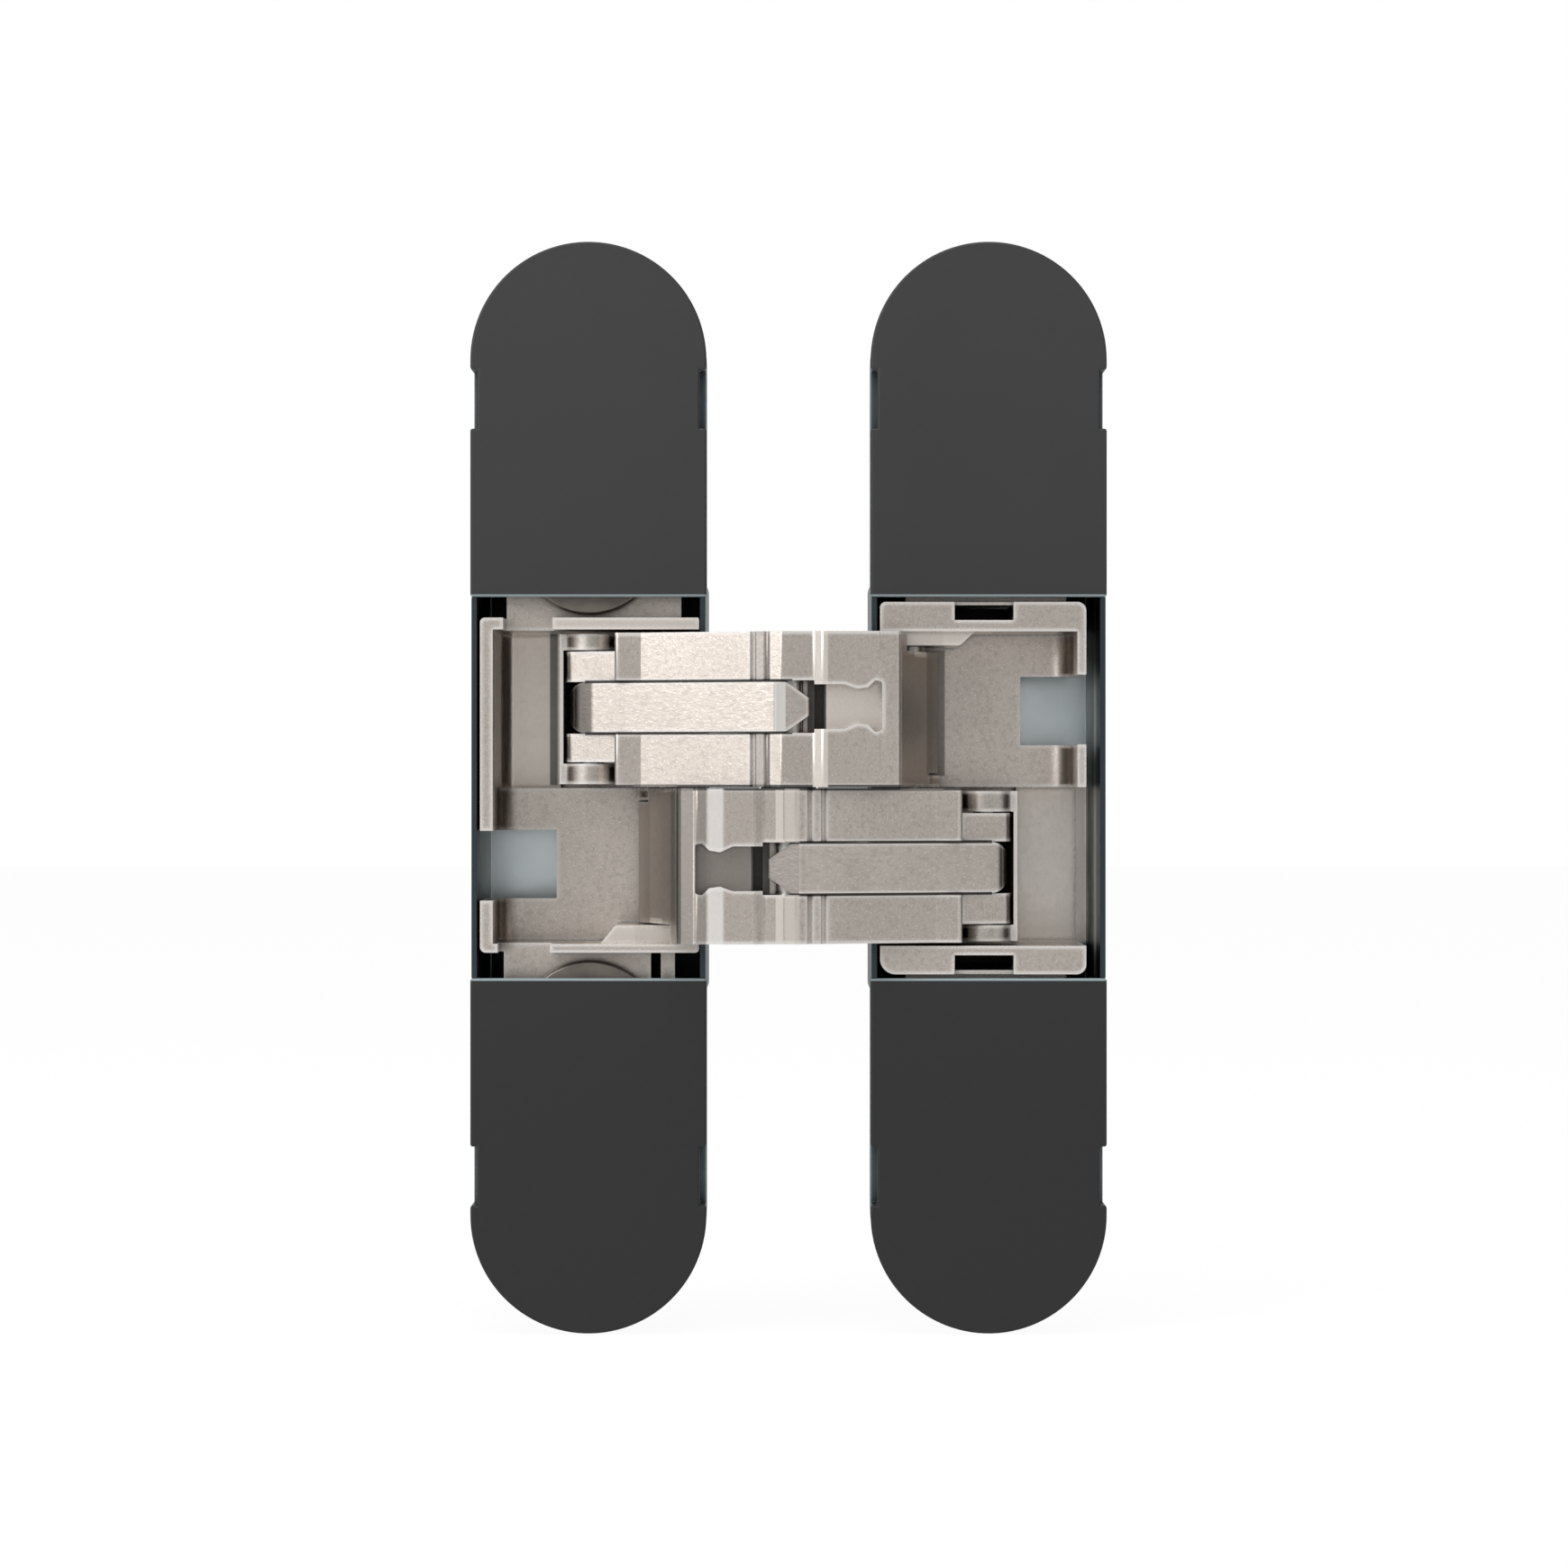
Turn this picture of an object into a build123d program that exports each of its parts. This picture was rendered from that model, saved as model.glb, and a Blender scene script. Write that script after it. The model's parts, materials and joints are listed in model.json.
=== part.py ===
from build123d import *
import os
from math import atan2, cos, degrees, hypot, radians, sin

# Concealed door hinge with seven pivots and adjustable halves, standing open at 180 degrees.
# X runs from the frame half to the door half, Z is up, and the faces look along -Y.
# The origin is the middle of the frame half's screw pattern, on the shoulder of its mortise.

os.makedirs("parts", exist_ok=True)

# Whole hinge
case_length = 111.0
cover_width = 24.0
half_pitch = 20.35
seat_depth = 12.5
slide_gap = 0.1
pin_gap = 0.05

# Cases
cover_reach = 0.1
case_width = cover_width - 2 * cover_reach
case_depth = 26.0
window_half = 19.4
window_wall = 0.55
window_rim = 0.4
deep_half = 22.0
deep_wall = 0.7
end_wall = 1.4
well_floor = 7.6
screw_inset = 7.5
screw_height = case_length / 2 - screw_inset
screw_radius = 2.3
screw_head_radius = 4.6

# Covers
cover_thick = 1.5
skirt_thick = 0.8
skirt_depth = 1.9
notch_low = 36.5
notch_high = 42.5
notch_depth = 0.7
notch_pocket = 0.9
pocket_depth = 4.0

# Pivots in plan, from the hinge's centre line and back from the face
root_x = 12.5
root_depth = 9.0
centre_depth = -2.5
far_x = 20.2
far_depth = 5.5
link_x = 12.6
link_depth = 12.1
link_eye_x = 12.93
link_eye_depth = 12.44

# Pins
root_pin_radius = 1.6
centre_pin_radius = 1.5
far_pin_radius = 1.3
link_pin_radius = 1.4
pin_chamfer = 0.2

# Arms
arm_gap = 0.12
ear_low = arm_gap / 2
ear_high = 15.75
root_low = 1.5
root_high = 13.85
hub_low = 2.6
hub_high = 13.9
slot_low = 5.5
slot_high = 10.8
root_radius = 2.9
centre_radius = 3.2
hub_radius = 2.8
front_offset = 3.3
under_depth = -0.1
groove_starts = (2.9, 1.4)
groove_slope = 0.2
groove_width = 0.7
groove_depth = 0.3
slot_start = 2.6
hub_start = 4.0
hub_nose = 1.4
ear_end_x = 17.67
ear_end_depth = 3.2
ear_flat_x = 15.0
ear_round = 0.35
hub_round = 0.8

# Arm outlines in plan and pocket outline from the front, with the radius of each corner
boss_corners = (
    (0.7, -5.75, 0.6),
    (-2.5, -5.6, 0.6),
    (-3.4, -6.2, 0.5),
    (-9.2, -6.1, 0.6),
    (-11.2, -5.2, 0.4),
    (-12.0, -2.2, 0),
    (-11.9, -0.5, 0),
)
under_corners = ((-9.2, under_depth, 0.5), (11.4, under_depth, 2.0), (15.9, 3.7, 0.5))
root_corners = ((-9.5, 0.6, 0), (-8.6, -0.6, 0), (-9.0, -4.5, 0), (-11.4, -4.6, 0))
root_front_corners = ((-14.4, 5.2, 0), (-9.55, 5.2, 0))
root_slope = 0.6
hub_corners = ((far_x, far_depth + 1.0, 0), (14.0, 2.4, 0), (14.0, 1.2, 0))
pocket_corners = (
    (-2.5, -5.9, 0),
    (-5.6, -5.9, 0.4),
    (-6.9, -6.5, 0.5),
    (-8.0, -6.3, 0.4),
    (-8.7, -5.6, 0.2),
    (-9.4, -5.7, 0.3),
    (-9.4, -10.7, 0.3),
    (-8.7, -10.8, 0.2),
    (-8.0, -10.1, 0.4),
    (-6.9, -9.95, 0.5),
    (-5.6, -10.4, 0.4),
    (-2.5, -10.4, 0),
)
pocket_floor = -3.2
trench_corners = ((-2.5, -5.9, 0), (-3.6, -5.9, 0), (-3.6, -10.4, 0), (-2.5, -10.4, 0))
trench_floor = -1.0

# Washer between the arms, sunk into a seat in each
centre_washer_radius = 2.8
washer_seat = 0.2

# Leaf between the ears
leaf_gap = 0.04
leaf_front = 3.5
leaf_tip = 0.85
leaf_tip_x = 2.1
leaf_shoulder_x = 0.4
leaf_shoulder_round = 1.2
leaf_tip_round = 0.3
leaf_nose = (-4.6, -3.0)
leaf_crease_x = 19.96
leaf_end_x = 22.45
leaf_end_corners = (
    (21.9, 2.6, 1.4),
    (leaf_end_x, far_depth, 1.0),
    (far_x, 8.2, 1.5),
    (11.6, under_depth, 2.0),
)
leaf_corner = 1.8

# Links
link_low = 0.35
link_high = 15.7
link_plate = 2.1
link_top_plate = 1.65
link_radius = 2.95
link_barrel = 2.95
link_web = 0.4
link_play = 0.55

# Carriages
tub_front = 0.6
frame_side_gap = 0.3
door_side_gap = 1.4
shelf_high = -0.05
shelf_low = -1.3
shallow_depth = 12.3
tub_floor = 1.6
back_room = 0.7
deep_depth = case_depth - deep_wall - back_room - tub_floor
ledge_step = 2.5
ledge_depth = deep_depth - ledge_step
ledge_edge = 24.0
frame_inset = 0.65
door_inset = 0.85
floor_fillet = 1.2
shallow_fillet = 2.3
deep_top = 16.1
shallow_bottom = 15.9
root_lug = 3.1
link_lug = 2.4
side_notch_low = 4.4
side_notch_high = 11.5
side_notch_x = 24.1
block_slope = 1.5
block_round = 0.5
pins_meet = (shelf_low + shelf_high) / 2
flange_front = 5.0
flange_thick = 2.5
flange_end = 43.0

# Height adjustment on the frame half
height_travel = 1.4
disc_radius = 7.4
disc_show = 1.7
disc_height = window_half + disc_radius - disc_show
disc_thick = 1.6
disc_shaft_radius = 3.8
disc_throw = 2.0
disc_pin_radius = 1.5

# Clamp screws
clamp_head_radius = 3.4
clamp_head_thick = 2.4
clamp_radius = 2.0
washer_radius = 3.7
washer_thick = 0.5
disc_room = 2.1
clamp_height = disc_height + disc_radius + disc_room + washer_radius
adjuster_pin_depth = 3.0
socket_flats = 4.0
socket_depth = 1.2

# Side adjustment on the door half
side_travel = 1.2
cam_radius = 4.2
cam_room = 2.4
cam_height = clamp_height - washer_radius - cam_room - cam_radius
cam_shaft_radius = 2.85
cam_throw = 1.2
cam_pin_radius = 1.0
cam_rest_angle = 30.0


def plan(side, height):
    """Plane seen from above: x from the centre line, y back from the face."""
    return Plane((half_pitch, -seat_depth, side * height), x_dir=(side, 0, 0), z_dir=(0, 0, side))


def front(side, depth):
    """Plane parallel to the face at a depth, centred on the hinge: x as in plan, y up its own half."""
    return Plane((half_pitch, depth - seat_depth, 0), x_dir=(side, 0, 0), z_dir=(0, -1, 0))


def case_front(side, depth):
    """Plane parallel to the face at a depth, centred on one case."""
    x = half_pitch - side * half_pitch
    return Plane((x, depth - seat_depth, 0), x_dir=(side, 0, 0), z_dir=(0, -1, 0))


def block(x0, x1, y0, y1, mode=Mode.ADD):
    """Rectangle between two corners of the sketch being drawn."""
    with Locations(((x0 + x1) / 2, (y0 + y1) / 2)):
        Rectangle(abs(x1 - x0), abs(y1 - y0), mode=mode)


def outline(*corners, mode=Mode.ADD):
    """Closed face through (x, y, corner radius) corners of the sketch being drawn."""
    with BuildLine() as path:
        FilletPolyline(*[(x, y) for x, y, _ in corners], radius=[r for _, _, r in corners], close=True)
    make_face(path.edges(), mode=mode)


def disc(x, y, radius, mode=Mode.ADD):
    """Circle at a point of the sketch being drawn."""
    with Locations((x, y)):
        Circle(radius, mode=mode)


def pin(side, x, depth, radius, low, high):
    """Round pin with chamfered ends between two heights of its half."""
    with BuildPart() as piece:
        with BuildSketch(plan(side, low)):
            disc(x, depth, radius)
        extrude(amount=high - low)
        chamfer(piece.edges().filter_by(GeomType.CIRCLE), pin_chamfer)
    return piece.part


def end_slot(half_length, width, inner_end, mode=Mode.ADD):
    """Half of a round-ended slot, from inner_end out to half_length."""
    radius = width / 2
    with BuildLine() as path:
        Line((-radius, inner_end), (radius, inner_end))
        Line((radius, inner_end), (radius, half_length - radius))
        RadiusArc((radius, half_length - radius), (-radius, half_length - radius), -radius)
        Line((-radius, half_length - radius), (-radius, inner_end))
    make_face(path.edges(), mode=mode)


def make_case(side, adjuster_height, slot_size, adjuster_x, adjuster_y):
    """Die-cast case: round-ended block, deep box behind the window, wells under the covers."""
    half = case_width / 2
    well_half = half - end_wall
    case_end = case_length - 2 * cover_reach
    with BuildPart() as case:
        with BuildSketch(case_front(side, cover_thick)):
            SlotOverall(case_end, case_width, rotation=90)
        extrude(amount=cover_thick - seat_depth)
        with BuildSketch(case_front(side, cover_thick)):
            RectangleRounded(case_width, 2 * deep_half, end_wall)
        extrude(amount=cover_thick - case_depth)
        with BuildSketch(case_front(side, window_rim)):
            Rectangle(case_width, 2 * window_half - slide_gap)
        extrude(amount=window_rim - cover_thick)
        # Hollow behind the window
        with BuildSketch(case_front(side, window_rim)):
            Rectangle(case_width - 2 * window_wall, 2 * (deep_half - deep_wall))
        extrude(amount=window_rim - case_depth + deep_wall, mode=Mode.SUBTRACT)
        # Wells that hold the adjusters and screws
        with BuildSketch(case_front(side, cover_thick)):
            SlotOverall(case_end - 2 * end_wall, 2 * well_half, rotation=90)
        extrude(amount=cover_thick - well_floor, mode=Mode.SUBTRACT)
        # Pockets in the flanks beside the cover's notches
        with BuildSketch(case_front(side, cover_thick)):
            for flank in (-1, 1):
                for end in (-1, 1):
                    out, back = flank * cover_width, flank * (half - notch_pocket)
                    block(back, out, end * notch_low, end * notch_high)
        extrude(amount=-pocket_depth, mode=Mode.SUBTRACT)
        # Wood screw holes, adjuster slots and clamp screw holes
        with Locations(case_front(side, well_floor)):
            with Locations((0, screw_height), (0, -screw_height)):
                CounterSinkHole(screw_radius, screw_head_radius, depth=seat_depth)
            with Locations((0, clamp_height), (0, -clamp_height)):
                Hole(clamp_radius, depth=seat_depth)
        with BuildSketch(case_front(side, well_floor)):
            for end in (-1, 1):
                with Locations((adjuster_x, end * adjuster_height + adjuster_y)):
                    RectangleRounded(*slot_size, min(slot_size) / 2 - slide_gap)
        extrude(amount=-adjuster_pin_depth - slide_gap, mode=Mode.SUBTRACT)
    return case.part


def make_cover(side, end):
    """Snap-on cover over one end of a case, with a skirt that enters the well."""
    half = cover_width / 2
    skirt_half = case_width / 2 - end_wall - slide_gap
    skirt_end = case_length / 2 - cover_reach - end_wall - slide_gap
    plane = Plane(case_front(side, 0).origin, x_dir=(side * end, 0, 0), z_dir=(0, -1, 0))
    with BuildPart() as cover:
        with BuildSketch(plane):
            end_slot(case_length / 2, cover_width, window_half)
            for flank in (-1, 1):
                out, back = flank * cover_width, flank * (half - notch_depth)
                block(back, out, notch_low, notch_high, Mode.SUBTRACT)
        extrude(amount=-cover_thick)
        with BuildSketch(plane.offset(-cover_thick)):
            end_slot(skirt_end, 2 * skirt_half, window_half + end_wall)
            hollow = skirt_half - skirt_thick
            end_slot(skirt_end - skirt_thick, 2 * hollow, window_half, mode=Mode.SUBTRACT)
        extrude(amount=-skirt_depth)
    return cover.part


def shallow_profile(left):
    """Recess of the shallow tub in plan, open at the face and towards the other half."""
    outline(
        (left, -1.0, 0),
        (left, shallow_depth, shallow_fillet),
        (0, shallow_depth, 0),
        (0, -1.0, 0),
    )


def deep_profile(left):
    """Recess of the deep tub in plan: a ledge by the outer wall and a trough where the link swings."""
    outline(
        (left, -1.0, 0),
        (left, ledge_depth, floor_fillet),
        (-ledge_edge, ledge_depth, 0),
        (-ledge_edge, deep_depth, 0),
        (0, deep_depth, 0),
        (0, -1.0, 0),
    )


def rim_corners(outer_x, inner_x, low, high, rounding):
    """Corners of a tub seen from the front, rounded at its far end."""
    return (
        (-outer_x, low, 0),
        (-outer_x, high, rounding[0]),
        (-inner_x, high, rounding[1]),
        (-inner_x, low, 0),
    )


def make_carriage(
    side,
    outer_x,
    inner_x,
    wall,
    deep_left,
    ends,
    rounding,
    root_block,
    flanges,
    notches,
    adjuster,
    clamp_slot,
):
    """Carriage: a deep tub for the far arm end and its link, and a shallow one for the arm's root."""
    deep_end, shallow_end = ends
    block_left, block_right, block_low, block_depth = root_block
    with BuildPart() as carriage:
        with BuildSketch(front(side, tub_front)):
            outline(*rim_corners(outer_x, inner_x, shelf_low, deep_end, rounding[0]))
        extrude(amount=tub_front - deep_depth - tub_floor)
        with BuildSketch(front(side, tub_front)):
            outline(*rim_corners(outer_x, inner_x, shelf_high, -shallow_end, rounding[1]))
        extrude(amount=tub_front - shallow_depth - tub_floor)
        # Recesses
        with BuildSketch(plan(side, shelf_high)):
            deep_profile(deep_left)
        extrude(amount=deep_top - shelf_high, mode=Mode.SUBTRACT)
        with BuildSketch(plan(side, -shallow_bottom)):
            shallow_profile(wall - outer_x)
        extrude(amount=shelf_high + shallow_bottom, mode=Mode.SUBTRACT)
        # Ears on the shelf between the tubs, and the block below, that carry the pins
        with BuildSketch(plan(side, shelf_low)):
            disc(-root_x, root_depth, root_lug)
            disc(-link_x, link_depth, link_lug)
            block(-root_x - root_lug, -inner_x, root_depth, shallow_depth)
        extrude(amount=shelf_high - shelf_low)
        with BuildSketch(front(side, block_depth)):
            outline(
                (block_left, -shallow_bottom, 0),
                (block_left + block_slope, -block_low, block_round),
                (block_right - block_slope, -block_low, block_round),
                (block_right, -shallow_bottom, 0),
            )
        extrude(amount=block_depth - shallow_depth)
        # Flanges that run out under the covers
        for end, left, right in flanges:
            reach = deep_end if end > 0 else shallow_end
            with BuildSketch(front(side, flange_front)):
                block(left, right, end * (reach - slide_gap), end * flange_end)
            extrude(amount=-flange_thick)
        shaft_height, shaft_radius = adjuster
        with BuildSketch(front(side, flange_front)):
            for end in (-1, 1):
                disc(-half_pitch, end * shaft_height, shaft_radius + pin_gap)
                with Locations((-half_pitch, end * clamp_height)):
                    RectangleRounded(*clamp_slot, min(clamp_slot) / 2 - slide_gap)
        extrude(amount=-flange_thick, mode=Mode.SUBTRACT)
        # Window through the outer wall and the shallow floor
        with BuildSketch(front(side, 0)):
            block(-case_width - half_pitch, -side_notch_x, -side_notch_high, -side_notch_low)
        extrude(amount=-case_depth, mode=Mode.SUBTRACT)
        # Notches in the rims
        for left, right, low, high, depth in notches:
            with BuildSketch(front(side, 0)):
                block(left, right, low, high)
            extrude(amount=-depth, mode=Mode.SUBTRACT)
        # Pin holes
        with BuildSketch(plan(side, -shallow_end)):
            disc(-root_x, root_depth, root_pin_radius)
        extrude(amount=shallow_end + pins_meet, mode=Mode.SUBTRACT)
        with BuildSketch(plan(side, pins_meet)):
            disc(-link_x, link_depth, link_pin_radius)
        extrude(amount=deep_end - pins_meet, mode=Mode.SUBTRACT)
    return carriage.part


def leg_direction():
    """Unit vector in plan from the centre pin to the far end, and the distance between them."""
    reach = hypot(far_x, far_depth - centre_depth)
    return far_x / reach, (far_depth - centre_depth) / reach, reach


def leg_point(along, offset):
    """Point in plan at a distance along the leg and an offset towards the face."""
    ux, uy, _ = leg_direction()
    return (ux * along + uy * offset, centre_depth + uy * along - ux * offset)


def leg_crossing(x, offset):
    """Point in plan where the line at an offset along the leg passes a given x."""
    ux, uy, _ = leg_direction()
    return leg_point((x - uy * offset) / ux, offset)


def make_arm(side):
    """Die-cast arm: hooked root, two ears with a slot between them and a narrower hub at the far end."""
    _, _, reach = leg_direction()
    flat_x, flat_depth = leg_crossing(ear_flat_x, front_offset)
    groove_bottom = front_offset - groove_depth
    grooves = []
    for start in groove_starts:
        grooves += [
            (*leg_point(start, front_offset), 0),
            (*leg_point(start - groove_slope, groove_bottom), 0),
            (*leg_point(start - groove_width + groove_slope, groove_bottom), 0),
            (*leg_point(start - groove_width, front_offset), 0),
        ]
    root_out, root_in = -root_x - root_radius, -root_x + root_radius
    with BuildPart() as arm:
        # Ears over their full height
        with BuildSketch(plan(side, -ear_high)):
            outline(
                (ear_end_x, ear_end_depth, ear_round),
                (ear_end_x, flat_depth, ear_round),
                (flat_x, flat_depth, 0),
                *grooves,
                *boss_corners,
                *under_corners,
            )
            disc(0, centre_depth, centre_radius)
        extrude(amount=ear_high - ear_low)
        # Root leg, narrower, down to its eye
        with BuildSketch(plan(side, -root_high)):
            outline(
                (root_out, root_depth - root_slope, 0),
                (-root_x, root_depth, 0),
                (root_in, root_depth, 0),
                *root_corners,
            )
            disc(-root_x, root_depth, root_radius)
        extrude(amount=root_high - root_low)
        # Front of the root leg, as high as the ears where it clears the carriage's lugs
        with BuildSketch(plan(side, -root_high)):
            outline(*root_front_corners, *root_corners)
        extrude(amount=root_high - ear_low)
        # Narrow hub at the far end
        with BuildSketch(plan(side, -hub_high)):
            outline(
                (*leg_point(reach - hub_start, hub_radius), 0),
                (*leg_point(reach + hub_nose, hub_radius), hub_round),
                (far_x + hub_radius, far_depth, hub_round),
                *hub_corners,
            )
            disc(far_x, far_depth, hub_radius)
        extrude(amount=hub_high - hub_low)
        # Slot for the leaf, through to the back
        with BuildSketch(plan(side, -slot_high)):
            block(-slot_start, far_x + 2 * hub_radius, -3 * centre_radius, far_depth + 2 * hub_radius)
        extrude(amount=slot_high - slot_low, mode=Mode.SUBTRACT)
        # Pocket behind the leaf's tip, with a trench next to the tip
        for corners, floor in ((pocket_corners, pocket_floor), (trench_corners, trench_floor)):
            with BuildSketch(front(side, -3 * centre_radius)):
                outline(*corners)
            extrude(amount=-floor - 3 * centre_radius, mode=Mode.SUBTRACT)
        # Seat for the washer
        with BuildSketch(plan(side, -ear_low - washer_seat)):
            disc(0, centre_depth, centre_washer_radius + pin_gap)
        extrude(amount=washer_seat, mode=Mode.SUBTRACT)
        # Pin bores
        with BuildSketch(plan(side, -ear_high)):
            disc(0, centre_depth, centre_pin_radius if side > 0 else centre_pin_radius + pin_gap)
            disc(far_x, far_depth, far_pin_radius)
            disc(-root_x, root_depth, root_pin_radius + pin_gap)
        extrude(amount=ear_high, mode=Mode.SUBTRACT)
    return arm.part


def make_leaf(side):
    """Steel leaf pressed between an arm's ears, from the centre pin to the far pin."""
    middle = (slot_low + slot_high) / 2
    half = (slot_high - slot_low) / 2 - leaf_gap
    low, high = -middle - half, -middle + half
    nose_front, nose_back = leaf_nose
    with BuildPart() as leaf:
        with BuildSketch(plan(side, low)):
            outline(
                (-slot_start, nose_back, 0),
                (-leaf_tip_x, nose_back, 0),
                (-leaf_tip_x, nose_front, leaf_tip_round),
                (*leg_point(0, leaf_front), leaf_shoulder_round),
                (*leg_crossing(leaf_crease_x, leaf_front), 0),
                *leaf_end_corners,
                (-slot_start, under_depth, leaf_tip_round),
            )
        extrude(amount=2 * half)
        # Seen from the front the far end is rounded
        with BuildSketch(front(side, -3 * centre_radius)):
            outline(
                (-slot_start, high, 0),
                (leaf_end_x, high, leaf_corner),
                (leaf_end_x, low, leaf_corner),
                (-slot_start, low, 0),
            )
        extrude(amount=-case_depth, mode=Mode.INTERSECT)
        # And the tip is pointed, down to its shoulder
        with BuildSketch(front(side, -3 * centre_radius)):
            block(-slot_start, leaf_shoulder_x + leaf_shoulder_round / 2, low, high)
            outline(
                (-leaf_tip_x, -middle + leaf_tip, leaf_tip_round),
                (leaf_shoulder_x, high, leaf_shoulder_round),
                (leaf_shoulder_x + leaf_tip_x, high, 0),
                (leaf_shoulder_x + leaf_tip_x, low, 0),
                (leaf_shoulder_x, low, leaf_shoulder_round),
                (-leaf_tip_x, -middle - leaf_tip, leaf_tip_round),
                mode=Mode.SUBTRACT,
            )
        extrude(amount=-nose_back - 3 * centre_radius, mode=Mode.SUBTRACT)
        with BuildSketch(plan(side, -ear_high)):
            disc(0, centre_depth, centre_pin_radius if side > 0 else centre_pin_radius + pin_gap)
            disc(far_x, far_depth, far_pin_radius)
        extrude(amount=ear_high, mode=Mode.SUBTRACT)
    return leaf.part


def make_link(side):
    """Yoke link: two plates and a thin web round the arm's hub, and a barrel on the carriage's pin."""
    ex, ey = -far_x, far_depth
    qx, qy = -link_eye_x, link_eye_depth
    angle = degrees(atan2(ey - qy, ex - qx))
    length = hypot(ex - qx, ey - qy)
    web_x = -far_x - hub_radius - 0.05
    with BuildPart() as link:
        for low, high in ((link_low, link_low + link_plate), (link_high - link_top_plate, link_high)):
            with BuildSketch(plan(side, low)):
                disc(ex, ey, link_radius)
                disc(qx, qy, link_barrel)
                with Locations(Location(((ex + qx) / 2, (ey + qy) / 2), angle)):
                    Rectangle(length, 2 * link_radius)
                block(web_x - link_web, ex, ey - 1.5, ey)
            extrude(amount=high - low)
        with BuildSketch(plan(side, link_low)):
            outline(
                (web_x - link_web, ey - 1.5, 0),
                (web_x, ey - 1.5, 0),
                (web_x, ey + 1.2, 0.6),
                (web_x + 2.2, ey + 4.2, 0),
                (web_x + 1.8, ey + 4.6, 0),
                (web_x - link_web, ey + 1.4, 0.6),
            )
            disc(qx, qy, link_barrel)
        extrude(amount=link_high - link_low)
        with BuildSketch(plan(side, link_low)):
            disc(ex, ey, far_pin_radius + pin_gap)
            disc(qx, qy, link_pin_radius + link_play)
        extrude(amount=link_high - link_low, mode=Mode.SUBTRACT)
    return link.part


def make_adjuster(side, height, sizes, pin_x, pin_y):
    """Adjusting disc on a shaft with an eccentric pin behind it and a socket in its face."""
    head_radius, shaft_radius, stub_radius, thick = sizes
    shaft_top = flange_front - slide_gap
    with BuildPart() as cam:
        with BuildSketch(case_front(side, shaft_top - thick)):
            disc(0, height, head_radius)
        extrude(amount=-thick)
        chamfer(cam.edges().filter_by(GeomType.CIRCLE).group_by(Axis.Y)[0], pin_chamfer)
        with BuildSketch(case_front(side, shaft_top)):
            disc(0, height, shaft_radius)
        extrude(amount=shaft_top - flange_front - flange_thick)
        with BuildSketch(case_front(side, flange_front + flange_thick)):
            disc(pin_x, height + pin_y, stub_radius)
        extrude(amount=-adjuster_pin_depth)
        with BuildSketch(case_front(side, shaft_top - thick)):
            with Locations((0, height)):
                RegularPolygon(socket_flats / 2, 6, major_radius=False)
        extrude(amount=-socket_depth, mode=Mode.SUBTRACT)
    return cam.part


def make_clamp_screws(side):
    """Two clamp screws with round heads and hexagon sockets."""
    head_top = flange_front - slide_gap - washer_thick - clamp_head_thick
    with BuildPart() as screws:
        for end in (-1, 1):
            with BuildSketch(case_front(side, head_top)):
                disc(0, end * clamp_height, clamp_head_radius)
            extrude(amount=-clamp_head_thick)
            with BuildSketch(case_front(side, head_top + clamp_head_thick)):
                disc(0, end * clamp_height, clamp_radius)
            extrude(amount=head_top + clamp_head_thick - seat_depth)
            with BuildSketch(case_front(side, head_top)):
                with Locations((0, end * clamp_height)):
                    RegularPolygon(socket_flats / 2, 6, major_radius=False)
            extrude(amount=-socket_depth, mode=Mode.SUBTRACT)
        chamfer(screws.edges().filter_by(GeomType.CIRCLE).group_by(Axis.Y)[0], pin_chamfer)
    return screws.part


def make_clamp_washers(side):
    """Two flat washers under the clamp screws' heads."""
    with BuildPart() as washers:
        with BuildSketch(case_front(side, flange_front - slide_gap - washer_thick)):
            for end in (-1, 1):
                disc(0, end * clamp_height, washer_radius)
                disc(0, end * clamp_height, clamp_radius, Mode.SUBTRACT)
        extrude(amount=-washer_thick)
    return washers.part


def make_centre_washer():
    """Thin washer on the centre pin between the two arms."""
    with BuildPart() as washer:
        with BuildSketch(plan(1, -ear_low - washer_seat + pin_gap)):
            disc(0, centre_depth, centre_washer_radius)
            disc(0, centre_depth, centre_pin_radius, Mode.SUBTRACT)
        extrude(amount=2 * (ear_low + washer_seat - pin_gap))
    return washer.part


frame_side = 1
door_side = -1
pieces = {}

# Fixed shells
disc_slot = (2 * (disc_throw + disc_pin_radius + slide_gap), 2 * (disc_pin_radius + slide_gap))
cam_rest_x = -cam_throw * sin(radians(cam_rest_angle))
cam_rest_y = cam_throw * cos(radians(cam_rest_angle))
cam_slot = (2 * (cam_pin_radius + slide_gap), 2 * (cam_throw + cam_pin_radius + slide_gap))
pieces["frame_case"] = make_case(frame_side, disc_height, disc_slot, disc_throw, 0)
pieces["door_case"] = make_case(door_side, cam_height, cam_slot, cam_rest_x, cam_rest_y)
for half_name, side in (("frame", frame_side), ("door", door_side)):
    for end in (1, -1):
        place = "upper" if side * end > 0 else "lower"
        pieces[f"{half_name}_{place}_cover"] = make_cover(side, end)
    pieces[f"{half_name}_clamp_screws"] = make_clamp_screws(side)
    pieces[f"{half_name}_clamp_washers"] = make_clamp_washers(side)

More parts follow.
